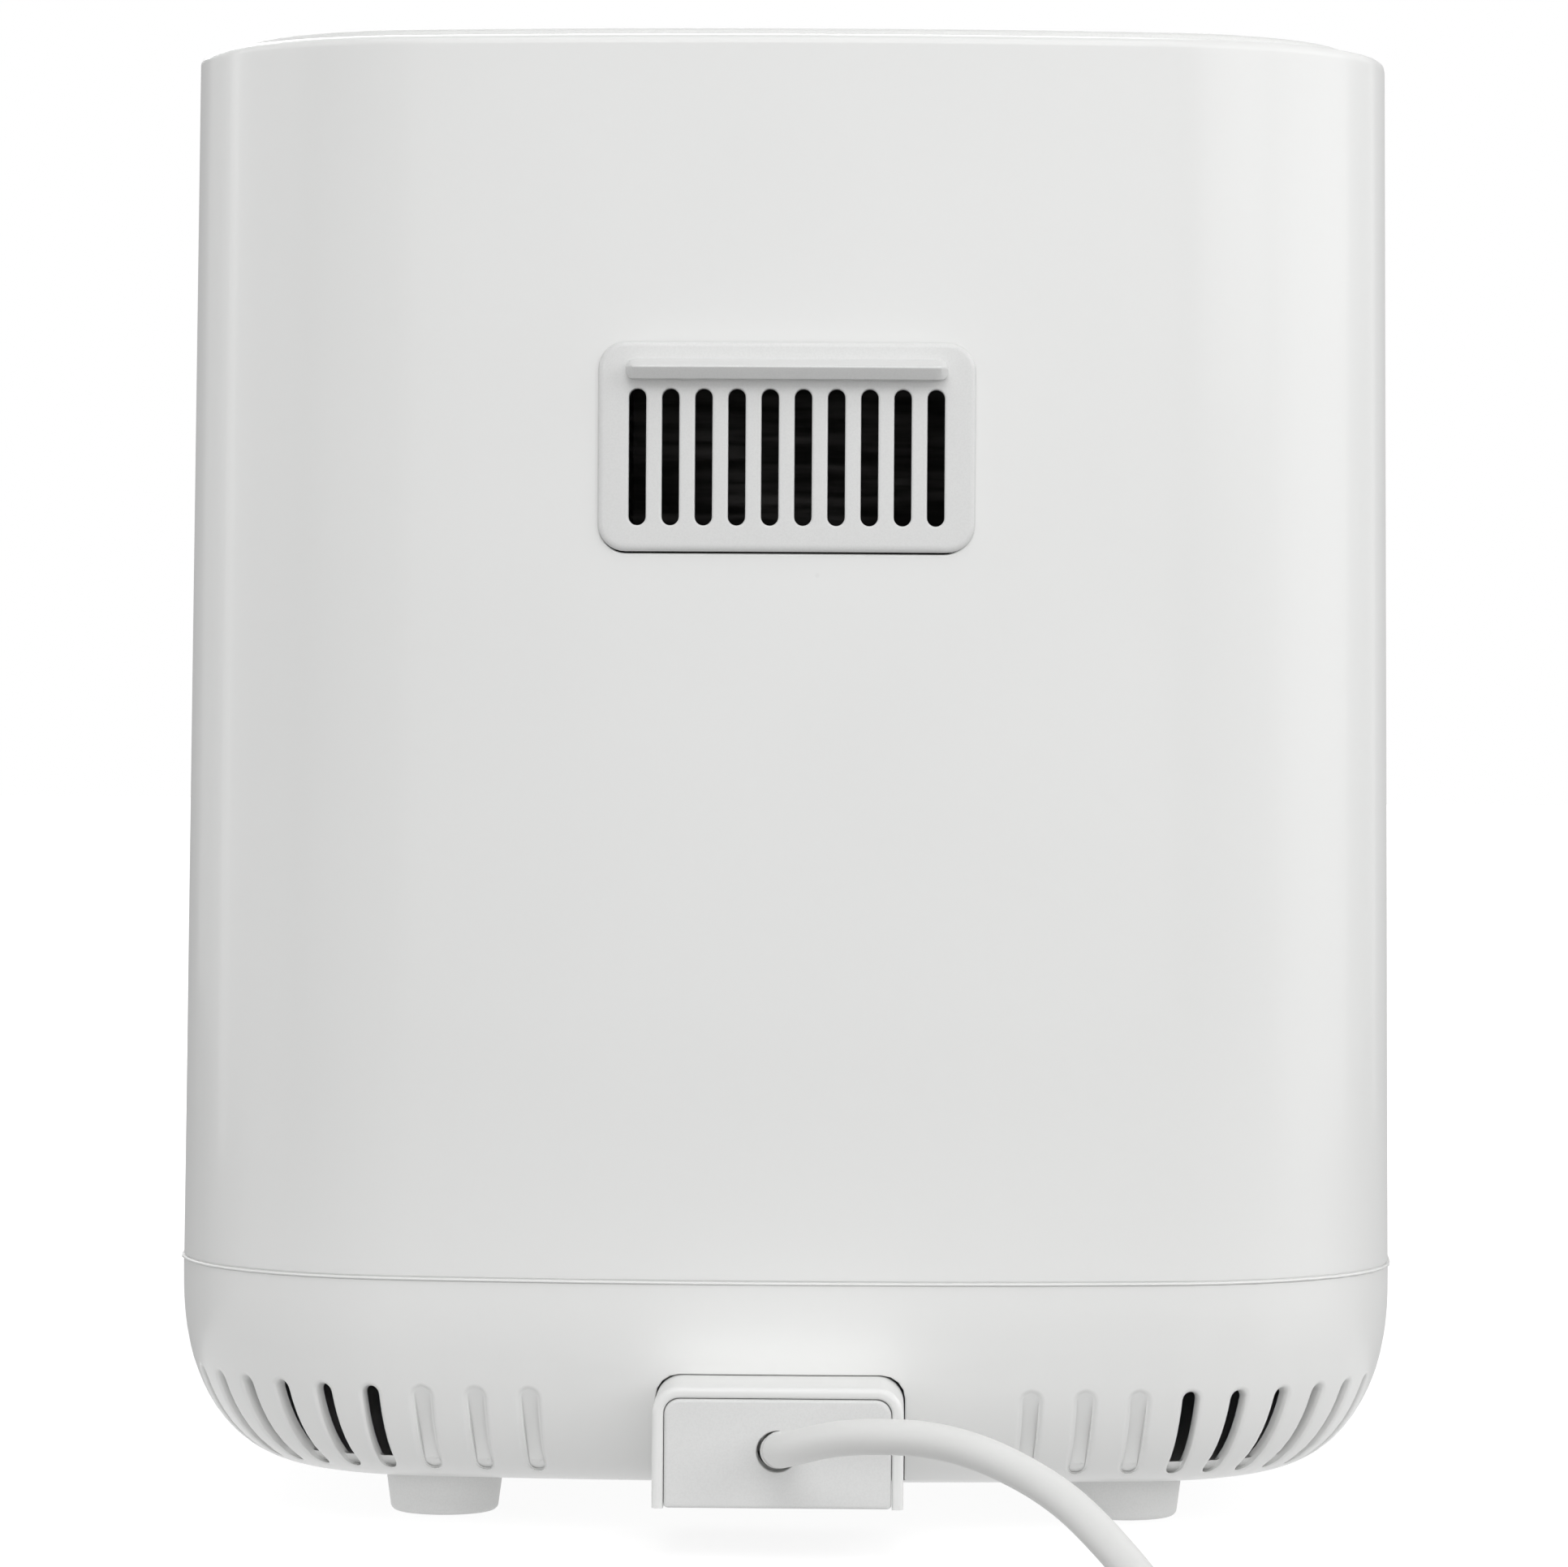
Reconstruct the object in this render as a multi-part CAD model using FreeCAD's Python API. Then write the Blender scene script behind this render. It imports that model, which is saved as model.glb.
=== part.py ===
import FreeCAD, Part
import math
import os

V = FreeCAD.Vector

# Hot-air fryer. Millimetres, +Z up, the front faces -Y and the cord leaves at +Y.
# The origin is under the middle of the overall depth and width, on the table.

# Outer body
BODY_W = 266.4  # widest, across the seam
BODY_D = 290.0  # front to rear, at the seam
RIM_Z = 315.0  # top rim of the housing
SEAM_Z = 55.0  # the housing meets the base here
BASE_Z = 10.5  # flat underside of the base
TAPER = 2.5  # how far each side is drawn in at the rim
CORNER_R = 58.0  # upright corners, in plan
END_BOW_R = 570.0  # front and rear, in plan
SIDE_BOW_R = 1500.0  # sides, in plan
WALL = 2.5  # moulded shells
LIP_OUT = 0.5  # bead round the lower edge of the housing
LIP_H = 1.2
RIM_ROUND = 2.2  # rounded upper edge
FIT = 0.3  # between pieces that seat in each other
RUN = 0.05  # radial, shafts in their bearings

# Base
BASE_RIM = 3.5  # straight edge under the seam
EDGE_IN = 31.5  # how far the base draws in below it
EDGE_FULL = 2.25  # how full that curve is: 2 is an ellipse
BASE_STEP = 0.5  # base edge stands back from the housing
VENT_W = 3.6
VENT_UP = 3.0  # lower end, above the underside
VENT_H = 19.0
VENT_START = 51.9  # along the plan from the middle of the rear
VENT_PITCH = 11.3
VENT_BLIND = 3  # the first ones on each side are grooves
VENT_OPEN = 9
GROOVE_D = 1.2
POCKET_W = 3.0  # opening at the lower end of a groove
POCKET_H = 2.4
POCKET_UP = 0.4
TAB_W = 14.0  # upright tabs that locate the housing
TAB_T = 2.0
TAB_H = 12.0
TAB_GAP = 0.5  # from the housing's wall
TAB_REAR = 35.0  # along the plan from the middle of the rear
TAB_SIDE = 40.0  # along the plan from the middle of a side
POST_OUT = 31.0  # screw posts, from the corner's centre
POST_R = 5.5
PILLAR_H = 22.0

# Feet
FOOT_SIDE = 59.7  # from the sides
FOOT_IN = 56.0  # from the front and rear
FOOT_TOP_R = 12.8
FOOT_LOW_R = 11.7
FOOT_EDGE = 1.5
PAD_R = 5.85
PAD_OUT = 0.6
PAD_SINK = 1.5
STUD_R = 4.0

# Top cover
FLANGE_IN = 10.0  # inward flange of the housing's rim
COVER_IN = 8.0  # cover edge from the rim
COVER_UP = 2.0  # cover stands above the rim
COVER_ROUND = 1.4
SKIRT_H = 6.0

# Hot-air outlet on the rear
GRILLE_W = 78.0
GRILLE_H = 44.4
GRILLE_R = 5.8
GRILLE_UP = 24.2  # middle, above the reflector
GRILLE_T = 2.6
GRILLE_PROUD = 0.9
SLOT_N = 10
SLOT_W = 3.4
SLOT_L = 28.0
SLOT_PITCH = 6.86
SLOT_DROP = 2.1  # slots sit below the middle of the outlet
LEDGE_W = 66.0
LEDGE_UP = 14.0  # underside of the ledge, above the middle of the outlet
LEDGE_H = 4.2
LEDGE_OUT = 5.0
LEDGE_NOSE = 2.0

# Cord outlet
BLOCK_W = 51.6
BLOCK_Z0 = 11.0
BLOCK_Z1 = 36.0
BLOCK_OUT = 20.0  # behind the rear of the body
BLOCK_IN = 32.0
BLOCK_R = 5.6
BLOCK_WALL = 2.4
BLOCK_GAP = 0.5
CORD_R = 3.6
CORD_Z = 22.9
CORD_HOLE_R = 4.0
PLATE_T = 2.5
CLAMP_W = 28.0
CLAMP_T = 8.0
CLAMP_H = 6.0
CLAMP_SCREW_X = 9.5
CLAMP_IN = 16.0  # in front of the block
TERMINAL_IN = 14.0  # in front of the clamp
TERMINAL_W = 32.0
TERMINAL_H = 17.0
TERMINAL_T = 16.0

# Drawer front and handle
PANEL_SIDE = 26.2  # from the sides of the body
PANEL_UP = 4.0  # above the seam
PANEL_OVER = 9.0  # above the pan
PANEL_R = 14.0
PANEL_T = 3.0
PANEL_GAP = 1.0
PANEL_BACK = 18.0  # rear face of the drawer front, from the front of the body
BACKPLATE_T = 2.0
HANDLE_OUT = 55.0
HANDLE_W = 50.0  # at the drawer front
HANDLE_H = 36.0
HANDLE_END_W = 40.0
HANDLE_END_H = 26.0
HANDLE_R = 11.0
HANDLE_SWELL = 2.0  # the grip is fuller than its end, by this
HANDLE_SWELL_AT = 0.4  # share of its reach
HANDLE_EDGE = 3.0  # rounding of its end
HANDLE_SCREWS = (0.35, 0.8)  # shares of the bracket's reach
HANDLE_UP = 6.0  # above the middle of the drawer front
BRACKET_W = 16.0
BRACKET_T = 3.0
BRACKET_OUT = 42.0
SEAL_W = 3.5
SEAL_IN = 4.4  # from the edge of the drawer front

# Pan, crisper plate and their runners
PAN_SIDE = 38.7  # from the sides of the body
PAN_REAR = 67.0  # from the rear of the body
PAN_UP = 8.0  # above the lower edge of the drawer front
PAN_H = 101.0
PAN_R = 28.0
PAN_T = 1.5
PAN_FOOT_R = 10.0  # rounded lower edge
RIM_W = 5.0
CRISPER_UP = 13.5  # above the floor of the pan
CRISPER_T = 1.4
CRISPER_GAP = 1.6
CRISPER_HOLES = 5  # each way
CRISPER_HOLE_R = 5.0
CRISPER_PITCH = 33.0
CRISPER_FOOT_R = 5.0

# Cooking chamber
CHAMBER_SIDE = 8.5  # beside the pan
CHAMBER_REAR = 21.0  # behind the pan
CHAMBER_LOW = 5.0  # under the pan
CHAMBER_HEAD = 35.0  # above the pan
CHAMBER_R = 18.0
SHEET = 1.0
CHAMBER_FLANGE = 3.0
BEZEL_T = 2.0
BEZEL_WAY_R = 2.0
RUNNER_H = 6.0
REFLECTOR_T = 1.2
SUPPORT_R = 6.0
SUPPORT_BORE = 4.0
SUPPORT_IN = 23.0  # from the side of the chamber

# Heating element and its brackets
HEATER_R = 3.3
HEATER_SIDE = 21.0  # outer half turn, from the side of the chamber
HEATER_PITCH = 14.0
HEATER_HALVES = 4
HEATER_DROP = 21.0  # tube centre below the reflector
HEATER_BEND_R = 12.0
HEATER_TAIL = 9.0  # ends stand above the reflector
HANGER_W = 8.0
HANGER_T = 1.5
HANGER_IN = 40.0

# Motor and fans
SHAFT_R = 2.5
FAN_R = 46.0
FAN_DROP = 14.0  # lower edge of the fan, below the reflector
FAN_BLADES = 8
BLADE_H = 8.5
BLADE_L = 26.0
BLADE_T = 1.0
HUB_R = 8.0
COOLER_R = 40.0
COOLER_UP = 3.5  # above the reflector
BRIDGE_W = 112.0
BRIDGE_D = 84.0
BRIDGE_H = 18.0
BRIDGE_T = 1.5
STATOR_W = 66.0
STATOR_D = 56.0
STATOR_H = 18.0
ROTOR_R = 12.6
AIR_GAP = 0.4
LIMB = 12.0  # iron limb that carries the coil
COIL_T = 7.0
BEARING_R = 6.0
BEARING_H = 6.0
DUCT_W = 72.0
DUCT_H = 46.0
DUCT_T = 1.2
DUCT_IN = 36.0
OUTLET_W = 56.0
OUTLET_D = 22.0
OUTLET_IN = 6.0  # behind the front of the duct

# Controls on the front
FASCIA_SIDE = 43.2  # from the sides of the body
FASCIA_H = 92.0
FASCIA_R = 16.0
FASCIA_DROP = 1.0  # below the middle between the drawer and the rim
FASCIA_T = 1.8
FASCIA_PROUD = 0.8
KNOB_IN = 42.0  # from the end of the fascia
KNOB_R = 23.0
KNOB_H = 18.0
KNOB_BAR_W = 9.0
KNOB_WAIST = 19.8  # radius above the skirt
KNOB_EDGE = 1.0
RING_H = 1.2
SEAT_R = 27.0
SEAT_OUT = 0.6  # flat seat of a knob, behind the front of the body
STEM_R = 3.0
BUSH_R = 5.0
UNIT_W = 42.0
UNIT_D = 32.0  # timer
THERMOSTAT_D = 25.6
UNIT_Y = 11.0
LENS_R = 2.2
LENS_X = 7.0
LENS_UP = 30.0
SWITCH_W = 20.0
SWITCH_H = 10.0
SWITCH_T = 7.0
BUTTON_R = 1.5

# Screws
SCREW_R = 1.75
SCREW_HEAD_R = 3.5
SCREW_HEAD_H = 2.4

# Cord lying free, its coil and its plug
COIL_X = -135.0
COIL_Y = 160.0  # behind the cord outlet
COIL_R = 46.0  # first turn
COIL_PITCH = 7.8
COIL_TURNS = 3.5
COIL_LIFT = 1.1  # the tie lies under the coil
TIE_W = 8.0
TIE_T = 0.9
TIE_GAP = 0.5
PLUG_R = 18.5
PLUG_FACE_R = 17.9
PLUG_FLARE_R = 15.7
PLUG_NECK_R = 10.2
PLUG_TAIL_R0 = 4.9
PLUG_TAIL_R1 = 6.3
PLUG_TAIL = 22.0
PLUG_BODY = 26.0
PLUG_FRONT = 17.0
PLUG_RUN = 55.0  # coil to plug
PLUG_STUB = 8.0  # straight ends of the coil
PIN_R = 2.4
PIN_L = 19.0
PIN_X = 9.5

# Places that follow from the sizes above
REAR_Y = (BODY_D + HANDLE_OUT - BLOCK_OUT) / 2
FRONT_Y = REAR_Y - BODY_D
MID_Y = REAR_Y - BODY_D / 2
EXIT_Y = REAR_Y + BLOCK_OUT
COVER_Z = RIM_Z + COVER_UP
FLOOR_Z = BASE_Z + WALL
EDGE_H = SEAM_Z - BASE_Z - BASE_RIM
VENT_Z0 = BASE_Z + VENT_UP
FOOT_X = BODY_W / 2 - FOOT_SIDE
BACK_Y = FRONT_Y + PANEL_BACK
PANEL_W = BODY_W - 2 * PANEL_SIDE
PANEL_H = PAN_UP + PAN_H + PANEL_OVER
PANEL_Z0 = SEAM_Z + PANEL_UP
PANEL_Z = PANEL_Z0 + PANEL_H / 2
HANDLE_Z = PANEL_Z + HANDLE_UP
PAN_W = BODY_W - 2 * PAN_SIDE
PAN_D = BODY_D - PANEL_BACK - PAN_REAR
PAN_Z0 = PANEL_Z0 + PAN_UP
SEAL_T = BEZEL_T - FIT
BEZEL_Y = BACK_Y + BEZEL_T
CHAMBER_Y0 = BEZEL_Y + BEZEL_T
CHAMBER_Y1 = BACK_Y + PAN_D + CHAMBER_REAR
CHAMBER_W = PAN_W + 2 * CHAMBER_SIDE
AXIS_Y = (CHAMBER_Y0 + CHAMBER_Y1) / 2
PAN_MID_Y = BACK_Y + PAN_D / 2
PAN_Z1 = PAN_Z0 + PAN_H
CHAMBER_Z0 = PAN_Z0 - CHAMBER_LOW
CHAMBER_Z1 = PAN_Z1 + CHAMBER_HEAD
SUPPORT_X = CHAMBER_W / 2 - SUPPORT_IN
RIM_UNDER = PAN_Z1 - PAN_T
CRISPER_Z = PAN_Z0 + PAN_T + CRISPER_UP
REFLECTOR_Z = CHAMBER_Z1 + REFLECTOR_T
GRILLE_Z = REFLECTOR_Z + GRILLE_UP
HEATER_Z = CHAMBER_Z1 - HEATER_DROP
HEATER_TURN_R = CHAMBER_W / 2 - HEATER_SIDE
FAN_Z = CHAMBER_Z1 - FAN_DROP
COOLER_Z = REFLECTOR_Z + COOLER_UP
BRIDGE_Z = REFLECTOR_Z + BRIDGE_H
STATOR_Z = BRIDGE_Z + COIL_T + WALL
FASCIA_W = BODY_W - 2 * FASCIA_SIDE
FASCIA_Z = (PANEL_Z0 + PANEL_H + RIM_Z) / 2 - FASCIA_DROP
KNOB_X = FASCIA_W / 2 - KNOB_IN
SEAT_Y = FRONT_Y + SEAT_OUT
CLAMP_Y = REAR_Y - BLOCK_IN - CLAMP_IN
TERMINAL_Y = CLAMP_Y - TERMINAL_IN
OUTLET_Y = CHAMBER_Y1 - DUCT_IN + OUTLET_IN
ARC_DIP = 1 - math.sqrt(0.5)  # share of a radius between a square corner and its arc, each way


def box(x0, x1, y0, y1, z0, z1):
    return Part.makeBox(x1 - x0, y1 - y0, z1 - z0, V(x0, y0, z0))


def rod(x, y, z, radius, length, axis):
    return Part.makeCylinder(radius, length, V(x, y, z), axis)


def both_sides(shape):
    """A shape and its mirror image across the middle of the width."""
    return [shape, shape.mirror(V(), V(1, 0, 0))]


def at_corners(make, x, y_low, y_high):
    """The same piece at four places, two at each depth."""
    return [make(sx * x, y) for sx in (-1, 1) for y in (y_low, y_high)]


def rounded_face(w, h, r):
    """A rectangle with round corners about the origin, in the XY plane."""
    near = r * ARC_DIP
    edges = []
    for quarter in range(4):
        a, b = (w / 2, h / 2) if quarter % 2 == 0 else (h / 2, w / 2)
        turn = FreeCAD.Rotation(V(0, 0, 1), 90 * quarter)
        side = [V(r - a, -b, 0), V(a - r, -b, 0)]
        corner = [V(a - r, -b, 0), V(a - near, near - b, 0), V(a, r - b, 0)]
        if a > r:
            edges.append(Part.LineSegment(*[turn.multVec(p) for p in side]).toShape())
        edges.append(Part.Arc(*[turn.multVec(p) for p in corner]).toShape())
    return Part.Face(Part.Wire(edges))


def arch_face(half, low, high, r):
    """A plan with a straight lower edge and two round upper corners, in the XY plane."""
    near = r * ARC_DIP
    edges = [Part.LineSegment(V(-half, low, 0), V(half, low, 0)).toShape()]
    for s in (1, -1):
        edges.append(Part.LineSegment(V(s * half, low, 0), V(s * half, high - r, 0)).toShape())
        corner = [(half, high - r), (half - near, high - near), (half - r, high)]
        edges.append(Part.Arc(*[V(s * u, v, 0) for u, v in corner]).toShape())
    edges.append(Part.LineSegment(V(half - r, high, 0), V(r - half, high, 0)).toShape())
    return Part.Face(Part.Wire(Part.__sortEdges__(edges)))


def along_y(face, x, z, y0, y1):
    """A face drawn in XY, stood up across the depth and run from y0 to y1."""
    face.rotate(V(), V(1, 0, 0), 90)
    face.translate(V(x, y0, z))
    return face.extrude(V(0, y1 - y0, 0))


def along_z(face, y, z0, z1):
    face.translate(V(0, y, z0))
    return face.extrude(V(0, 0, z1 - z0))


def turned(profile):
    """A solid of revolution about Z from pairs of radius and height."""
    points = [V(r, 0, h) for r, h in profile + profile[:1]]
    return Part.Face(Part.makePolygon(points)).revolve(V(), V(0, 0, 1), 360)


def facing_front(shape, x, y, z):
    """Turns what was drawn along Z to point at the front, and moves it."""
    shape.rotate(V(), V(1, 0, 0), 90)
    shape.translate(V(x, y, z))
    return shape


# Plan of the body: front and rear bows, side bows and four corner arcs, all tangent
END_CENTRE = V(0, BODY_D / 2 - END_BOW_R, 0)
SIDE_CENTRE = V(BODY_W / 2 - SIDE_BOW_R, 0, 0)


def corner_centre():
    """Where a corner arc touches both the rear bow and the side bow."""
    reach_end, reach_side = END_BOW_R - CORNER_R, SIDE_BOW_R - CORNER_R
    apart = SIDE_CENTRE - END_CENTRE
    d = apart.Length
    along = (reach_end**2 - reach_side**2 + d**2) / (2 * d)
    off = math.sqrt(reach_end**2 - along**2)
    u = apart / d
    return END_CENTRE + u * along + V(-u.y, u.x, 0) * -off


CORNER = corner_centre()


def plan_points(inset):
    """The ends and the middle of the corner arc, for a plan drawn in by inset."""
    at_end = END_CENTRE + (CORNER - END_CENTRE).normalize() * (END_BOW_R - inset)
    at_side = SIDE_CENTRE + (CORNER - SIDE_CENTRE).normalize() * (SIDE_BOW_R - inset)
    middle = CORNER + (at_end + at_side - CORNER * 2).normalize() * (CORNER_R - inset)
    return at_end, middle, at_side


def outline(inset, z):
    """The plan of the body, drawn in by inset, at a height."""
    e, m, s = plan_points(inset)
    rear, side = V(0, BODY_D / 2 - inset, 0), V(BODY_W / 2 - inset, 0, 0)
    edges = []
    for sx, sy in ((1, 1), (1, -1), (-1, -1), (-1, 1)):
        turn = [V(sx * p.x, MID_Y + sy * p.y, z) for p in (e, m, s)]
        edges.append(Part.Arc(*turn).toShape())
    for sign in (1, -1):
        end = [V(x, MID_Y + sign * y, z) for x, y in ((-e.x, e.y), (0, rear.y), (e.x, e.y))]
        flank = [V(sign * x, MID_Y + y, z) for x, y in ((s.x, s.y), (side.x, 0), (s.x, -s.y))]
        edges += [Part.Arc(*end).toShape(), Part.Arc(*flank).toShape()]
    return Part.Wire(Part.__sortEdges__(edges))


def stack(levels, smooth=False):
    """A solid through plans given as pairs of height and inset."""
    return Part.makeLoft([outline(inset, z) for z, inset in levels], True, not smooth)


def drawn_in(z):
    return TAPER * (z - SEAM_Z) / (RIM_Z - SEAM_Z)


def housing_form(grow):
    """The tapering form of the housing, grown outwards."""
    return stack([(SEAM_Z, -grow), (RIM_Z, TAPER - grow)])


def plan_place(s):
    """A point of the plan, s from the middle of the rear, and the angle of its normal from +Y."""
    end_turn = math.atan2(CORNER.x, CORNER.y - END_CENTRE.y)
    side_turn = math.atan2(CORNER.x - SIDE_CENTRE.x, CORNER.y)
    end_len = END_BOW_R * end_turn
    corner_len = CORNER_R * (side_turn - end_turn)
    if s < end_len:
        centre, r, a = END_CENTRE, END_BOW_R, s / END_BOW_R
    elif s < end_len + corner_len:
        centre, r, a = CORNER, CORNER_R, end_turn + (s - end_len) / CORNER_R
    else:
        centre, r, a = SIDE_CENTRE, SIDE_BOW_R, side_turn + (s - end_len - corner_len) / SIDE_BOW_R
    return centre + V(math.sin(a), math.cos(a), 0) * r, a


def on_plan(shape, s):
    """Moves what was drawn at the origin, looking along +Y, to a place of the plan."""
    point, a = plan_place(s)
    shape.rotate(V(), V(0, 0, 1), -math.degrees(a))
    shape.translate(V(point.x, MID_Y + point.y, 0))
    return shape


def post_places():
    """The two screw posts behind the cooking chamber."""
    out = POST_OUT / math.sqrt(2)
    return [(sx * (CORNER.x + out), MID_Y + CORNER.y + out) for sx in (-1, 1)]


def outer_housing():
    levels = [
        (SEAM_Z, -LIP_OUT),
        (SEAM_Z + LIP_H, -LIP_OUT),
        (SEAM_Z + LIP_H + LIP_OUT, drawn_in(SEAM_Z + LIP_H + LIP_OUT)),
        (RIM_Z - RIM_ROUND, TAPER),
        (RIM_Z - ARC_DIP * RIM_ROUND, TAPER + ARC_DIP * RIM_ROUND),
        (RIM_Z, TAPER + RIM_ROUND),
    ]
    hollow = stack([(SEAM_Z - 1, WALL), (RIM_Z - WALL, TAPER + WALL)])
    mouth = stack([(RIM_Z - WALL - 1, TAPER + FLANGE_IN), (RIM_Z + 1, TAPER + FLANGE_IN)])
    shell = stack(levels).cut(hollow).cut(mouth)
    gap = 2 * FIT
    outlet = rounded_face(GRILLE_W + gap, GRILLE_H + gap, GRILLE_R + FIT)
    gap = 2 * PANEL_GAP
    drawer = rounded_face(PANEL_W + gap, PANEL_H + gap, PANEL_R + PANEL_GAP)
    gap = 2 * FIT
    sunk = rounded_face(FASCIA_W + gap, FASCIA_H + gap, FASCIA_R + FIT)
    sunk = along_y(sunk, 0, FASCIA_Z, FRONT_Y - CORNER_R, FRONT_Y + CORNER_R)
    cuts = [
        along_y(outlet, 0, GRILLE_Z, REAR_Y - CORNER_R, REAR_Y + CORNER_R),
        along_y(drawer, 0, PANEL_Z, FRONT_Y - CORNER_R, FRONT_Y + CORNER_R),
        sunk.cut(housing_form(FASCIA_PROUD - FASCIA_T - FIT)),
    ]
    cuts += control_holes()
    shell = shell.cut(cuts)
    for x, y in post_places():
        pillar = rod(x, y, SEAM_Z, POST_R, PILLAR_H, V(0, 0, 1))
        web_l = CORNER_R - WALL / 2 - drawn_in(SEAM_Z + PILLAR_H) - POST_OUT
        web = box(-WALL / 2, WALL / 2, 0, web_l, SEAM_Z, SEAM_Z + PILLAR_H)
        web.rotate(V(), V(0, 0, 1), -45 if x > 0 else 45)
        web.translate(V(x, y, 0))
        pilot = rod(x, y, SEAM_Z - 1, SCREW_R + RUN, PILLAR_H - WALL, V(0, 0, 1))
        shell = shell.fuse([pillar, web]).cut(pilot)
    return shell.removeSplitter()


def control_holes():
    """Holes through fascia and housing for the bushes and the indicator lenses."""
    start = FRONT_Y - CORNER_R
    holes = [rod(s * KNOB_X, start, FASCIA_Z, BUSH_R + FIT, 2 * CORNER_R, V(0, 1, 0)) for s in (-1, 1)]
    z = FASCIA_Z + LENS_UP
    holes += [rod(s * LENS_X, start, z, LENS_R + FIT / 2, 2 * CORNER_R, V(0, 1, 0)) for s in (-1, 1)]
    return holes


def top_cover():
    edge = TAPER + COVER_IN
    plate = stack([
        (RIM_Z, edge),
        (COVER_Z - COVER_ROUND, edge),
        (COVER_Z - ARC_DIP * COVER_ROUND, edge + ARC_DIP * COVER_ROUND),
        (COVER_Z, edge + COVER_ROUND),
    ])
    inside = TAPER + FLANGE_IN + FIT
    skirt = stack([(RIM_Z - SKIRT_H, inside), (RIM_Z, inside)])
    hollow = stack([(RIM_Z - SKIRT_H - 1, inside + WALL), (RIM_Z, inside + WALL)])
    return plate.fuse(skirt.cut(hollow)).removeSplitter()


def base_form(shrink):
    """A quarter of a full ellipse up from the flat underside, then a straight rim, shrunk inwards."""
    steps = 8
    top = BASE_Z + EDGE_H
    rim = BASE_STEP + shrink
    levels = []
    for k in range(steps + 1):
        a = math.pi / 2 * k / steps
        reach = (math.sin(a) ** EDGE_FULL + math.cos(a) ** EDGE_FULL) ** (-1 / EDGE_FULL)
        out, down = reach * math.sin(a), reach * math.cos(a)
        levels.append((top - (EDGE_H - shrink) * down, BASE_STEP + EDGE_IN * (1 - out) + shrink * out))
    return stack(levels, smooth=True).fuse(stack([(top, rim), (SEAM_Z, rim)]))


def vent_cutter(s):
    cutter = rounded_face(VENT_W, VENT_H, VENT_W / 2)
    cutter = along_y(cutter, 0, VENT_Z0 + VENT_H / 2, -EDGE_IN, WALL)
    return on_plan(cutter, s)


def pocket_cutter(s):
    z = VENT_Z0 + POCKET_UP + POCKET_H / 2
    cutter = along_y(rounded_face(POCKET_W, POCKET_H, POCKET_H / 3), 0, z, -EDGE_IN, WALL)
    return on_plan(cutter, s)


def base_vents():
    """Blind grooves beside the cord outlet, then open vents round the corner and along the side."""
    core = base_form(GROOVE_D)
    cuts = []
    for i in range(VENT_BLIND + VENT_OPEN):
        s = VENT_START + i * VENT_PITCH
        cutter = vent_cutter(s)
        if i < VENT_BLIND:
            cutter = cutter.cut(core)
            cuts += both_sides(pocket_cutter(s))
        cuts += both_sides(cutter)
    return cuts


def locating_tabs():
    """Upright tabs inside the housing's wall, on the rear and the sides, rooted in the base's wall."""
    tabs = []
    side = plan_length() / 4
    y1 = -WALL - TAB_GAP
    for s in (TAB_REAR, side - TAB_SIDE, side + TAB_SIDE):
        tab = box(-TAB_W / 2, TAB_W / 2, y1 - TAB_T, y1, SEAM_Z, SEAM_Z + TAB_H)
        root = box(-TAB_W / 2, TAB_W / 2, y1 - TAB_T, y1 + WALL / 2, SEAM_Z - TAB_H, SEAM_Z)
        tabs += both_sides(on_plan(tab.fuse(root), s))
    return tabs


def plan_length():
    return outline(0, 0).Length


def base_shell():
    shell = base_form(0).cut(base_form(WALL))
    opening = arch_face(BLOCK_W / 2 + BLOCK_GAP, BASE_Z - 1, BLOCK_Z1 + BLOCK_GAP, BLOCK_R + BLOCK_GAP)
    cuts = base_vents()
    cuts.append(along_y(opening, 0, 0, REAR_Y - BLOCK_IN - BLOCK_GAP, REAR_Y + WALL))
    cuts += at_corners(
        lambda x, y: rod(x, y, BASE_Z - 1, STUD_R + FIT / 2, WALL + 2, V(0, 0, 1)),
        FOOT_X, FRONT_Y + FOOT_IN, REAR_Y - FOOT_IN)
    shell = shell.cut(cuts).fuse(locating_tabs())
    half = CLAMP_W / 2
    saddle = box(-half, half, CLAMP_Y, CLAMP_Y + CLAMP_T, FLOOR_Z - WALL / 2, CORD_Z - FIT / 2)
    saddle = saddle.cut(rod(0, CLAMP_Y - 1, CORD_Z, CORD_R + RUN, CLAMP_T + 2, V(0, 1, 0)))
    shell = shell.fuse(saddle).cut([
        rod(s * CLAMP_SCREW_X, CLAMP_Y + CLAMP_T / 2, FLOOR_Z, SCREW_R + RUN, CORD_Z, V(0, 0, 1))
        for s in (-1, 1)])
    for x, y in post_places():
        post = rod(x, y, FLOOR_Z - WALL / 2, POST_R, SEAM_Z - FLOOR_Z + WALL / 2, V(0, 0, 1))
        sink = rod(x, y, BASE_Z - 1, SCREW_HEAD_R + FIT, screw_seat() - BASE_Z + 1, V(0, 0, 1))
        shank = rod(x, y, BASE_Z, SCREW_R + FIT, SEAM_Z, V(0, 0, 1))
        shell = shell.fuse(post).cut([sink, shank])
    return shell.removeSplitter()


def screw_seat():
    """Height at which the housing screws' heads bear on the posts."""
    return SEAM_Z - PILLAR_H / 2


def screw(length):
    """A pan-head screw along +Z, its head just below zero."""
    head = Part.makeCylinder(SCREW_HEAD_R, SCREW_HEAD_H, V(0, 0, -SCREW_HEAD_H))
    return head.fuse(Part.makeCylinder(SCREW_R, length)).removeSplitter()


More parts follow.
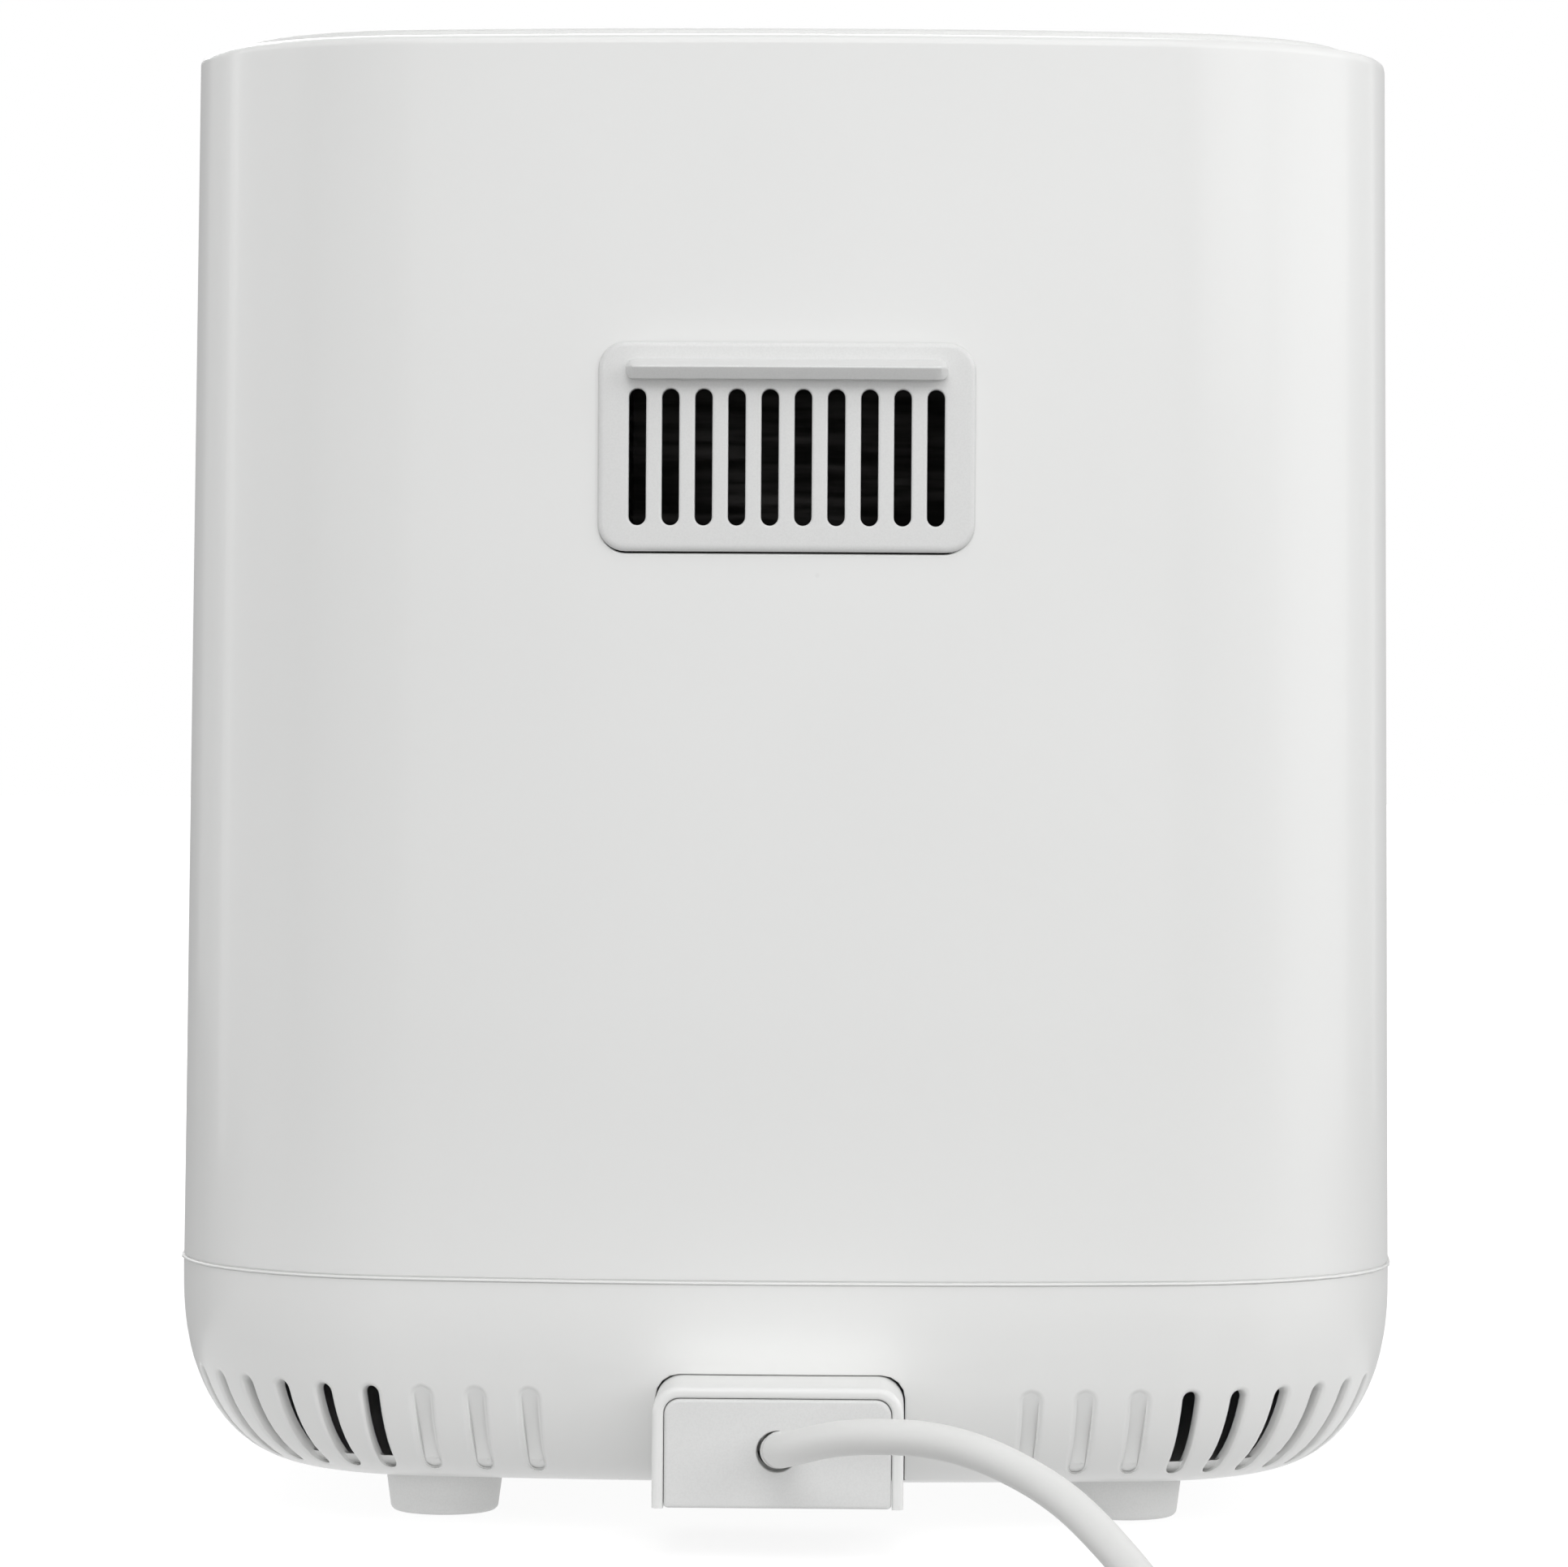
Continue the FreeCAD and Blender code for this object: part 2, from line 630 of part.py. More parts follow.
def housing_screws():
    screws = []
    for x, y in post_places():
        one = screw(SEAM_Z - screw_seat() + PILLAR_H - 2 * WALL)
        one.translate(V(x, y, screw_seat()))
        screws.append(one)
    return Part.makeCompound(screws)


def feet():
    low = PAD_OUT + PAD_SINK
    foot = turned([
        (0, low), (PAD_R + FIT / 2, low), (PAD_R + FIT / 2, PAD_OUT), (FOOT_LOW_R - FOOT_EDGE, PAD_OUT),
        (FOOT_LOW_R - ARC_DIP * FOOT_EDGE, PAD_OUT + ARC_DIP * FOOT_EDGE),
        (FOOT_LOW_R, PAD_OUT + FOOT_EDGE), (FOOT_TOP_R, BASE_Z), (STUD_R, BASE_Z),
        (STUD_R, FLOOR_Z - FIT), (0, FLOOR_Z - FIT)])
    return Part.makeCompound(at_corners(
        lambda x, y: foot.translated(V(x, y, 0)), FOOT_X, FRONT_Y + FOOT_IN, REAR_Y - FOOT_IN))


def foot_pads():
    return Part.makeCompound(at_corners(
        lambda x, y: rod(x, y, 0, PAD_R, PAD_OUT + PAD_SINK, V(0, 0, 1)),
        FOOT_X, FRONT_Y + FOOT_IN, REAR_Y - FOOT_IN))


def exhaust_grille():
    plate = rounded_face(GRILLE_W, GRILLE_H, GRILLE_R)
    plate = along_y(plate, 0, GRILLE_Z, REAR_Y - CORNER_R, REAR_Y + CORNER_R)
    plate = plate.common(housing_form(GRILLE_PROUD)).cut(housing_form(GRILLE_PROUD - GRILLE_T))
    z = GRILLE_Z + LEDGE_UP
    face = REAR_Y - drawn_in(z) + GRILLE_PROUD
    root = face - GRILLE_T / 2
    nose = [(root, z), (face + LEDGE_OUT, z), (face + LEDGE_OUT, z + LEDGE_NOSE), (root, z + LEDGE_H)]
    ledge = Part.Face(Part.makePolygon([V(-LEDGE_W / 2, y, h) for y, h in nose + nose[:1]]))
    plate = plate.fuse(ledge.extrude(V(LEDGE_W, 0, 0)))
    slots = []
    for i in range(SLOT_N):
        x = (i - (SLOT_N - 1) / 2) * SLOT_PITCH
        slot = rounded_face(SLOT_W, SLOT_L, SLOT_W / 2)
        slots.append(along_y(slot, x, GRILLE_Z - SLOT_DROP, REAR_Y - CORNER_R, REAR_Y + CORNER_R))
    return plate.cut(slots).removeSplitter()


def exhaust_duct():
    """Takes air from the chamber's top, at the rear, to the outlet in the rear wall."""
    y0 = CHAMBER_Y1 - DUCT_IN
    z1 = REFLECTOR_Z + DUCT_H
    half = DUCT_W / 2
    duct = box(-half, half, y0, REAR_Y, REFLECTOR_Z, z1).common(housing_form(-WALL - FIT))
    way = box(DUCT_T - half, half - DUCT_T, y0 + DUCT_T, REAR_Y, REFLECTOR_Z + DUCT_T, z1 - DUCT_T)
    return duct.cut([way, outlet_way()])


def outlet_way():
    """The opening in the reflector and in the duct's floor."""
    half = OUTLET_W / 2
    top = REFLECTOR_Z + 2 * DUCT_T
    return box(-half, half, OUTLET_Y, OUTLET_Y + OUTLET_D, CHAMBER_Z1 - 1, top)


def block_arch(inset):
    half = BLOCK_W / 2 - inset
    return arch_face(half, BLOCK_Z0, BLOCK_Z1 - inset, BLOCK_R - inset)


def cord_block_frame():
    start = REAR_Y - BLOCK_IN
    outer = along_y(block_arch(0), 0, 0, start, EXIT_Y)
    return outer.cut(along_y(block_arch(BLOCK_WALL), 0, 0, start - 1, EXIT_Y + 1))


def cord_block_plate():
    inset = BLOCK_WALL + FIT / 2
    plate = along_y(block_arch(inset), 0, 0, EXIT_Y - PLATE_T, EXIT_Y)
    half = BLOCK_W / 2 - inset
    floor = box(-half, half, REAR_Y - BLOCK_IN, EXIT_Y - PLATE_T, BLOCK_Z0, BLOCK_Z0 + WALL)
    hole = rod(0, EXIT_Y - BLOCK_OUT, CORD_Z, CORD_HOLE_R, 2 * BLOCK_OUT, V(0, 1, 0))
    return plate.fuse(floor).cut(hole).removeSplitter()


def cord_clamp():
    z0 = CORD_Z + FIT / 2
    bar = box(-CLAMP_W / 2, CLAMP_W / 2, CLAMP_Y, CLAMP_Y + CLAMP_T, z0, z0 + CLAMP_H)
    holes = [
        rod(s * CLAMP_SCREW_X, CLAMP_Y + CLAMP_T / 2, z0 - 1, SCREW_R + FIT, CLAMP_H + 2, V(0, 0, 1))
        for s in (-1, 1)]
    return bar.cut(holes + [rod(0, CLAMP_Y - 1, CORD_Z, CORD_R + RUN, CLAMP_T + 2, V(0, 1, 0))])


def cord_clamp_screws():
    screws = []
    top = CORD_Z + FIT / 2 + CLAMP_H
    for s in (-1, 1):
        one = screw(top - FLOOR_Z - WALL)
        one.rotate(V(), V(1, 0, 0), 180)
        one.translate(V(s * CLAMP_SCREW_X, CLAMP_Y + CLAMP_T / 2, top))
        screws.append(one)
    return Part.makeCompound(screws)


def inner_lead():
    return rod(0, TERMINAL_Y, CORD_Z, CORD_R, EXIT_Y - 2 * FIT - TERMINAL_Y, V(0, 1, 0))


def terminal_block():
    half = TERMINAL_W / 2
    body = box(-half, half, TERMINAL_Y - TERMINAL_T, TERMINAL_Y, FLOOR_Z, FLOOR_Z + TERMINAL_H)
    wells = [
        rod(i * TERMINAL_W / 3, TERMINAL_Y - TERMINAL_T / 2, FLOOR_Z + TERMINAL_H / 2, 3 * SCREW_R / 2,
            TERMINAL_H, V(0, 0, 1))
        for i in (-1, 0, 1)]
    return body.cut(wells)


def chamber_supports():
    def tube(x, y):
        long = CHAMBER_Z0 - FLOOR_Z
        return rod(x, y, FLOOR_Z, SUPPORT_R, long, V(0, 0, 1)).cut(
            rod(x, y, FLOOR_Z - 1, SUPPORT_BORE, long + 2, V(0, 0, 1)))
    return Part.makeCompound(at_corners(tube, SUPPORT_X, CHAMBER_Y0 + DUCT_IN, CHAMBER_Y1 - DUCT_IN))


def inner_chamber():
    """Sheet-metal cooking space, open at the front and the top, with a flange round the top."""
    half = CHAMBER_W / 2
    body = along_z(arch_face(half, CHAMBER_Y0, CHAMBER_Y1, CHAMBER_R), 0, CHAMBER_Z0, CHAMBER_Z1)
    brim = along_z(chamber_brim(), 0, CHAMBER_Z1 - SHEET, CHAMBER_Z1)
    space = arch_face(half - SHEET, CHAMBER_Y0 - 1, CHAMBER_Y1 - SHEET, CHAMBER_R - SHEET)
    space = along_z(space, 0, CHAMBER_Z0 + SHEET, CHAMBER_Z1 + 1)
    return body.fuse(brim).cut(space).removeSplitter()


def chamber_brim():
    f = CHAMBER_FLANGE
    return arch_face(CHAMBER_W / 2 + f, CHAMBER_Y0, CHAMBER_Y1 + f, CHAMBER_R + f)


def front_bezel():
    """Closes the front of the chamber round the way of the pan."""
    half = CHAMBER_W / 2 + CHAMBER_FLANGE / 2
    low = PANEL_Z0 + FIT
    plate = along_y(arch_face(half, low, CHAMBER_Z1, PANEL_R), 0, 0, BEZEL_Y, CHAMBER_Y0)
    w = PAN_W + 2 * RIM_W + 2 * PANEL_GAP
    h = PAN_H + 3 * PANEL_GAP
    way = along_y(rounded_face(w, h, BEZEL_WAY_R), 0, PAN_Z0 + PAN_H / 2, BEZEL_Y - 1, CHAMBER_Y0 + 1)
    return plate.cut(way).common(housing_form(-WALL - FIT))


def runner_rails():
    wall = CHAMBER_W / 2 - SHEET
    inner = PAN_W / 2 + 2 * PANEL_GAP
    top = RIM_UNDER - FIT
    rail = box(inner, wall, CHAMBER_Y0, CHAMBER_Y1 - CHAMBER_R - SHEET, top - RUNNER_H, top)
    return Part.makeCompound(both_sides(rail))


def heat_reflector():
    plate = along_z(chamber_brim(), 0, CHAMBER_Z1, REFLECTOR_Z)
    low, reach = CHAMBER_Z1 - 1, REFLECTOR_T + 2
    holes = [rod(x, y, low, HEATER_R + FIT, reach, V(0, 0, 1)) for x, y in heater_ends()]
    holes.append(rod(0, AXIS_Y, low, HUB_R, reach, V(0, 0, 1)))
    return plate.cut(holes + [outlet_way()])


def heater_halves():
    """Half turns of the flat spiral: start, crown and end of each, on alternate sides."""
    halves = []
    x, r, side = HEATER_TURN_R, HEATER_TURN_R, 1
    for _ in range(HEATER_HALVES):
        end = x - 2 * side * r
        halves.append((V(x, 0, 0), V((x + end) / 2, side * r, 0), V(end, 0, 0)))
        x, r, side = end, r - HEATER_PITCH / 2, -side
    return halves


def heater_ends():
    halves = heater_halves()
    b = HEATER_BEND_R
    return [(halves[0][0].x, AXIS_Y - b), (halves[-1][2].x, AXIS_Y + b)]


def riser(x, sign, upwards):
    """Upright end of the element: a straight and a quarter bend into the spiral."""
    b = HEATER_BEND_R
    k = b * math.sqrt(0.5)
    top = V(x, sign * b, HEATER_DROP + REFLECTOR_T + HEATER_TAIL)
    bend = [V(x, sign * b, b), V(x, sign * k, b - k), V(x, 0, 0)]
    parts = [Part.LineSegment(top, bend[0]), Part.Arc(*bend)]
    if upwards:
        parts = [Part.Arc(*bend[::-1]), Part.LineSegment(bend[0], top)]
    return [p.toShape() for p in parts]


def tube(edges, radius):
    """A round solid swept along tangent edges."""
    path = Part.Wire(edges)
    first = edges[0]
    start, tangent = first.valueAt(first.FirstParameter), first.tangentAt(first.FirstParameter)
    ring = Part.Wire([Part.Circle(start, tangent, radius).toShape()])
    return path.makePipeShell([ring], True, False)


def heating_element():
    halves = heater_halves()
    edges = riser(halves[0][0].x, -1, False)
    edges += [Part.Arc(*h).toShape() for h in halves]
    edges += riser(halves[-1][2].x, 1, True)
    return tube(edges, HEATER_R).translated(V(0, AXIS_Y, HEATER_Z))


def heater_brackets():
    """Angle strips that hang from the reflector and carry the turns of the element."""
    outer = HEATER_TURN_R + HEATER_R + FIT
    low = HEATER_Z - HEATER_R - HANGER_T
    strips = []
    for angle in (60, 180, 300):
        foot = box(HANGER_IN, outer + HANGER_T, -HANGER_W / 2, HANGER_W / 2, low, low + HANGER_T)
        leg = box(outer, outer + HANGER_T, -HANGER_W / 2, HANGER_W / 2, low, CHAMBER_Z1)
        strip = foot.fuse(leg).removeSplitter()
        strip.rotate(V(), V(0, 0, 1), angle)
        strips.append(strip.translated(V(0, AXIS_Y, 0)))
    return Part.makeCompound(strips)


def fan(radius, z, upwards):
    """A disc with straight radial blades and a hub on the motor's shaft."""
    disc = rod(0, 0, 0, radius, BLADE_T, V(0, 0, 1))
    blade = box(radius - BLADE_L, radius, -BLADE_T / 2, BLADE_T / 2, BLADE_T / 2, BLADE_H)
    pieces = [rod(0, 0, 0, HUB_R - 2 * BLADE_T, BLADE_H, V(0, 0, 1))]
    for i in range(FAN_BLADES):
        pieces.append(blade.rotated(V(), V(0, 0, 1), 360 * i / FAN_BLADES))
    wheel = disc.fuse(pieces).cut(rod(0, 0, -1, SHAFT_R + RUN, BLADE_H + 2, V(0, 0, 1)))
    if not upwards:
        wheel.rotate(V(), V(1, 0, 0), 180)
    wheel.translate(V(0, AXIS_Y, z))
    return wheel.removeSplitter()


def convection_fan():
    return fan(FAN_R, FAN_Z + BLADE_H, False)


def cooling_fan():
    return fan(COOLER_R, COOLER_Z, True)


def shaft_ends():
    return FAN_Z - BEARING_H, STATOR_Z + STATOR_H + 2 * BEARING_H


def motor_shaft():
    low, high = shaft_ends()
    return rod(0, AXIS_Y, low, SHAFT_R, high - low, V(0, 0, 1))


def fan_nut():
    low, _ = shaft_ends()
    side = 2 * SHAFT_R
    corners = [V(side * math.cos(a), side * math.sin(a), 0) for a in (math.pi / 3 * i for i in range(7))]
    nut = Part.Face(Part.makePolygon(corners)).extrude(V(0, 0, FAN_Z - low - 1))
    nut = nut.cut(rod(0, 0, -1, SHAFT_R + RUN, 2 * BEARING_H, V(0, 0, 1)))
    return nut.translated(V(0, AXIS_Y, low + 1))


def motor_rotor():
    core = rod(0, AXIS_Y, STATOR_Z, ROTOR_R, STATOR_H, V(0, 0, 1))
    return core.cut(rod(0, AXIS_Y, STATOR_Z - 1, SHAFT_R + RUN, STATOR_H + 2, V(0, 0, 1)))


def stator_window():
    """The opening beside the rotor that the coil passes through, in X."""
    left = -STATOR_W / 2 - LIMB / 2
    return left + LIMB, -ROTOR_R - AIR_GAP - WALL


def motor_stator():
    left = -STATOR_W / 2 - LIMB / 2
    iron = box(left, left + STATOR_W, -STATOR_D / 2, STATOR_D / 2, 0, STATOR_H)
    x0, x1 = stator_window()
    half = STATOR_D / 2 - LIMB
    iron = iron.cut([
        box(x0, x1, -half, half, -1, STATOR_H + 1),
        rod(0, 0, -1, ROTOR_R + AIR_GAP, STATOR_H + 2, V(0, 0, 1))])
    return iron.translated(V(0, AXIS_Y, STATOR_Z))


def motor_coil():
    """Wound bobbin round the iron limb beside the rotor."""
    left = -STATOR_W / 2 - LIMB / 2
    _, x1 = stator_window()
    half = STATOR_D / 2 - LIMB - FIT
    long = 2 * half
    body = rounded_face(x1 - FIT - left + COIL_T, STATOR_H + 2 * COIL_T, COIL_T / 2)
    body = along_y(body, (x1 - FIT + left - COIL_T) / 2, STATOR_H / 2, -half, half)
    limb = box(left - FIT / 2, left + LIMB + FIT / 2, -long, long, -FIT / 2, STATOR_H + FIT / 2)
    return body.cut(limb).translated(V(0, AXIS_Y, STATOR_Z))


def motor_bridge():
    """Sheet-metal table over the reflector: four legs and a top that carries the motor."""
    half_w, half_d = BRIDGE_W / 2, BRIDGE_D / 2
    top = along_z(rounded_face(BRIDGE_W, BRIDGE_D, HUB_R), AXIS_Y, BRIDGE_Z - BRIDGE_T, BRIDGE_Z)
    legs = []
    for sx in (-1, 1):
        for sy in (-1, 1):
            y0, y1 = half_d - 3 * HUB_R, half_d - HUB_R
            leg = box(half_w - BRIDGE_T, half_w, y0, y1, REFLECTOR_Z, BRIDGE_Z - BRIDGE_T / 2)
            leg = leg if sx > 0 else leg.mirror(V(), V(1, 0, 0))
            leg = leg if sy > 0 else leg.mirror(V(), V(0, 1, 0))
            legs.append(leg.translated(V(0, AXIS_Y, 0)))
    hole = rod(0, AXIS_Y, BRIDGE_Z - 2 * BRIDGE_T, BEARING_R + FIT / 2, 3 * BRIDGE_T, V(0, 0, 1))
    return top.fuse(legs).cut(hole).removeSplitter()


def motor_spacers():
    """Four distance tubes between the bridge and the iron."""
    reach_x, reach_y = STATOR_W / 2 - LIMB / 2 - SCREW_HEAD_R, STATOR_D / 2 - SCREW_HEAD_R

    def one(x, y):
        long = STATOR_Z - BRIDGE_Z
        return rod(x, y, BRIDGE_Z, SCREW_HEAD_R, long, V(0, 0, 1)).cut(
            rod(x, y, BRIDGE_Z - 1, SCREW_R, long + 2, V(0, 0, 1)))
    return Part.makeCompound(at_corners(one, reach_x, AXIS_Y - reach_y, AXIS_Y + reach_y))


def motor_bearings():
    """A bush in the bridge and one in a yoke above the iron."""
    def bush(z):
        return rod(0, AXIS_Y, z, BEARING_R, BEARING_H - FIT, V(0, 0, 1)).cut(
            rod(0, AXIS_Y, z - 1, SHAFT_R + RUN, BEARING_H + 2, V(0, 0, 1)))
    return Part.makeCompound([bush(BRIDGE_Z - BRIDGE_T), bush(STATOR_Z + STATOR_H + FIT)])


def motor_yoke():
    """Strap over the rotor that holds the upper bush."""
    z = STATOR_Z + STATOR_H
    half = STATOR_D / 2
    strap = box(-BEARING_R - WALL, BEARING_R + WALL, -half, half, z, z + BEARING_H)
    room = box(-2 * STATOR_W, 2 * STATOR_W, LIMB - half, half - LIMB, z - 1, z + BEARING_H - BRIDGE_T)
    ring = rod(0, 0, z + FIT, BEARING_R + WALL, BEARING_H - FIT, V(0, 0, 1))
    seat = rod(0, 0, z - 1, BEARING_R + FIT / 2, 2 * BEARING_H, V(0, 0, 1))
    return strap.cut(room).fuse(ring).cut(seat).removeSplitter().translated(V(0, AXIS_Y, 0))


def control_fascia():
    plate = rounded_face(FASCIA_W, FASCIA_H, FASCIA_R)
    plate = along_y(plate, 0, FASCIA_Z, FRONT_Y - CORNER_R, FRONT_Y + CORNER_R)
    plate = plate.common(housing_form(FASCIA_PROUD))
    seats = [rod(s * KNOB_X, SEAT_Y, FASCIA_Z, SEAT_R, UNIT_Y, V(0, 1, 0)) for s in (-1, 1)]
    plate = plate.fuse(seats).cut(housing_form(FASCIA_PROUD - FASCIA_T))
    return plate.cut(control_holes()).removeSplitter()


def indicator_lenses():
    z = FASCIA_Z + LENS_UP
    y0 = FRONT_Y + drawn_in(z) - 2 * FASCIA_PROUD
    lens = rod(LENS_X, y0, z, LENS_R, UNIT_Y, V(0, 1, 0))
    return Part.makeCompound(both_sides(lens))


def with_bush(unit, x):
    """Adds the threaded bush that holds a control in the front, bored for its stem."""
    bush = rod(x, SEAT_Y, FASCIA_Z, BUSH_R, FRONT_Y + UNIT_Y + WALL - SEAT_Y, V(0, 1, 0))
    bore = rod(x, SEAT_Y - 1, FASCIA_Z, STEM_R + RUN, stem_depth() + 2, V(0, 1, 0))
    return unit.fuse(bush).cut(bore).removeSplitter()


def stem_depth():
    """How far a stem reaches behind its seat."""
    return UNIT_Y + UNIT_D / 2


def timer_unit():
    y0 = FRONT_Y + UNIT_Y
    return with_bush(along_y(rounded_face(UNIT_W, UNIT_W, WALL), KNOB_X, FASCIA_Z, y0, y0 + UNIT_D), KNOB_X)


def thermostat_unit():
    can = rod(-KNOB_X, FRONT_Y + UNIT_Y, FASCIA_Z, UNIT_W / 2, THERMOSTAT_D, V(0, 1, 0))
    return with_bush(can, -KNOB_X)


def knob_body(x):
    """A skirted knob with a finger bar across its face."""
    e = KNOB_EDGE
    skirt = KNOB_H / 3
    knob = turned([
        (0, FIT), (KNOB_R, FIT), (KNOB_R, skirt - e), (KNOB_R - e, skirt), (KNOB_WAIST, skirt),
        (KNOB_WAIST - e, 2 * skirt), (0, 2 * skirt)])
    bar = rounded_face(KNOB_BAR_W, 2 * (KNOB_WAIST - 2 * e), KNOB_BAR_W / 2).extrude(V(0, 0, KNOB_H))
    knob = knob.fuse(bar.translated(V(0, 0, FIT)))
    knob = knob.cut(rod(0, 0, -1, STEM_R + RUN, 2 * skirt, V(0, 0, 1)))
    return facing_front(knob.removeSplitter(), x, SEAT_Y, FASCIA_Z)


def knob_ring(x):
    """A bright band that sits on the knob's skirt."""
    inner = KNOB_WAIST + RUN
    outer = KNOB_R - KNOB_EDGE
    skirt = KNOB_H / 3
    band = turned([
        (inner, skirt), (outer, skirt), (outer - KNOB_EDGE, skirt + RING_H), (inner, skirt + RING_H)])
    return facing_front(band, x, SEAT_Y, FASCIA_Z)


def knob_stem(x):
    front = SEAT_Y - KNOB_H / 2
    return rod(x, front, FASCIA_Z, STEM_R, SEAT_Y + stem_depth() - front, V(0, 1, 0))


def drawer_switch():
    """Cuts the power when the drawer is pulled; it sits on the bezel above the drawer."""
    z0 = PANEL_Z0 + PANEL_H + 2 * WALL
    body = box(-SWITCH_W / 2, SWITCH_W / 2, BEZEL_Y - SWITCH_T, BEZEL_Y, z0, z0 + SWITCH_H)
    button = rod(0, BEZEL_Y - SWITCH_T - WALL, z0 + SWITCH_H / 2, BUTTON_R, WALL, V(0, 1, 0))
    return body.fuse(button)


def panel_prism(inset, y0, y1):
    face = rounded_face(PANEL_W - 2 * inset, PANEL_H - 2 * inset, PANEL_R - inset)
    return along_y(face, 0, PANEL_Z, y0, y1)


def drawer_front():
    """Curved front skin with a return round its edge, open at the back."""
    block = panel_prism(0, FRONT_Y - CORNER_R, BACK_Y).common(housing_form(0))
    room = panel_prism(PANEL_T, FRONT_Y - CORNER_R, BACK_Y + 1).common(housing_form(-PANEL_T))
    return block.cut(room).cut(bracket_slot(FIT))


def bracket_slot(grow):
    half_w, half_t = BRACKET_W / 2 + grow, BRACKET_T / 2 + grow
    y0, y1 = FRONT_Y - BRACKET_OUT - grow, BACK_Y - BACKPLATE_T
    return box(-half_w, half_w, y0, y1, HANDLE_Z - half_t, HANDLE_Z + half_t)


def drawer_backplate():
    plate = panel_prism(PANEL_T + FIT, BACK_Y - BACKPLATE_T, BACK_Y)
    return plate.common(housing_form(-PANEL_T - FIT))


def drawer_seal():
    outer = panel_prism(SEAL_IN, BACK_Y, BACK_Y + SEAL_T)
    return outer.cut(panel_prism(SEAL_IN + SEAL_W, BACK_Y - 1, BACK_Y + SEAL_T + 1))


def pan_form(shrink, z0, z1, foot_r):
    """The pan's rounded box, with its lower edge rounded."""
    face = rounded_face(PAN_W - 2 * shrink, PAN_D - 2 * shrink, PAN_R - shrink)
    form = along_z(face, PAN_MID_Y, z0, z1)
    low = [e for e in form.Edges if e.BoundBox.ZMax < z0 + 0.01]
    return form.makeFillet(foot_r, low)


def frying_pan():
    outer = pan_form(0, PAN_Z0, PAN_Z1, PAN_FOOT_R)
    inner = pan_form(PAN_T, PAN_Z0 + PAN_T, PAN_Z1 + 1, PAN_FOOT_R - PAN_T)
    brim = rounded_face(PAN_W + 2 * RIM_W, PAN_D + RIM_W, PAN_R + RIM_W)
    brim = along_z(brim, PAN_MID_Y + RIM_W / 2, RIM_UNDER, PAN_Z1)
    return outer.fuse(brim).cut(inner).removeSplitter()


def crisper_plate():
    """Perforated tray inside the pan, with a turned-up edge."""
    gap = PAN_T + CRISPER_GAP
    edge = rounded_face(PAN_W - 2 * gap, PAN_D - 2 * gap, PAN_R - gap)
    tray = along_z(edge, PAN_MID_Y, CRISPER_Z, CRISPER_Z + 3 * CRISPER_T)
    gap += CRISPER_T
    room = rounded_face(PAN_W - 2 * gap, PAN_D - 2 * gap, PAN_R - gap)
    room = along_z(room, PAN_MID_Y, CRISPER_Z + CRISPER_T, CRISPER_Z + 4 * CRISPER_T)
    middle = (CRISPER_HOLES - 1) / 2
    holes = []
    for i in range(CRISPER_HOLES):
        for j in range(CRISPER_HOLES):
            x, y = (i - middle) * CRISPER_PITCH, PAN_MID_Y + (j - middle) * CRISPER_PITCH
            holes.append(rod(x, y, CRISPER_Z - 1, CRISPER_HOLE_R, 2 * CRISPER_T, V(0, 0, 1)))
    return tray.cut([room] + holes)


def crisper_feet():
    reach = CRISPER_PITCH * (CRISPER_HOLES - 2) / 2
    low = PAN_Z0 + PAN_T + FIT
    return Part.makeCompound(at_corners(
        lambda x, y: rod(x, y, low, CRISPER_FOOT_R, CRISPER_Z - low, V(0, 0, 1)),
        reach, PAN_MID_Y - reach, PAN_MID_Y + reach))


def handle_form():
    """The grip: drawn out of the drawer front and rounded at its end."""
    sections = [
        (HANDLE_W, HANDLE_H, -PANEL_BACK),
        (HANDLE_W, HANDLE_H, 0),
        (HANDLE_END_W + HANDLE_SWELL, HANDLE_END_H + HANDLE_SWELL, HANDLE_SWELL_AT * HANDLE_OUT),
        (HANDLE_END_W, HANDLE_END_H, HANDLE_OUT - HANDLE_R / 2),
        (HANDLE_END_W - HANDLE_EDGE, HANDLE_END_H - HANDLE_EDGE, HANDLE_OUT - HANDLE_R / 6),
        (HANDLE_END_W - HANDLE_R, HANDLE_END_H - HANDLE_R, HANDLE_OUT),
    ]
    wires = []
    for w, h, out in sections:
        wire = rounded_face(w, h, min(HANDLE_R, 0.4 * h)).OuterWire
        wire.rotate(V(), V(1, 0, 0), 90)
        wires.append(wire.translated(V(0, FRONT_Y - out, HANDLE_Z)))
    grip = Part.makeLoft(wires, True, True)
    return grip.cut(housing_form(FIT / 2)).cut(bracket_slot(FIT / 2))


def handle_half(upper):
    far = BODY_W
    z0, z1 = (HANDLE_Z, HANDLE_Z + far) if upper else (HANDLE_Z - far, HANDLE_Z)
    half = handle_form().common(box(-far, far, FRONT_Y - far, FRONT_Y + far, z0, z1))
    cuts = []
    for y in handle_screw_places():
        cuts.append(rod(0, y, HANDLE_Z - far, SCREW_R + FIT / 2, far + HANDLE_END_H / 3, V(0, 0, 1)))
        cuts.append(rod(0, y, HANDLE_Z - far, SCREW_HEAD_R + FIT, far - HANDLE_END_H / 4, V(0, 0, 1)))
    return half.cut(cuts)


def handle_screw_places():
    return [FRONT_Y - share * BRACKET_OUT for share in HANDLE_SCREWS]


def handle_screws():
    screws = []
    for y in handle_screw_places():
        one = screw(HANDLE_END_H / 2)
        screws.append(one.translated(V(0, y, HANDLE_Z - HANDLE_END_H / 4)))
    return Part.makeCompound(screws)


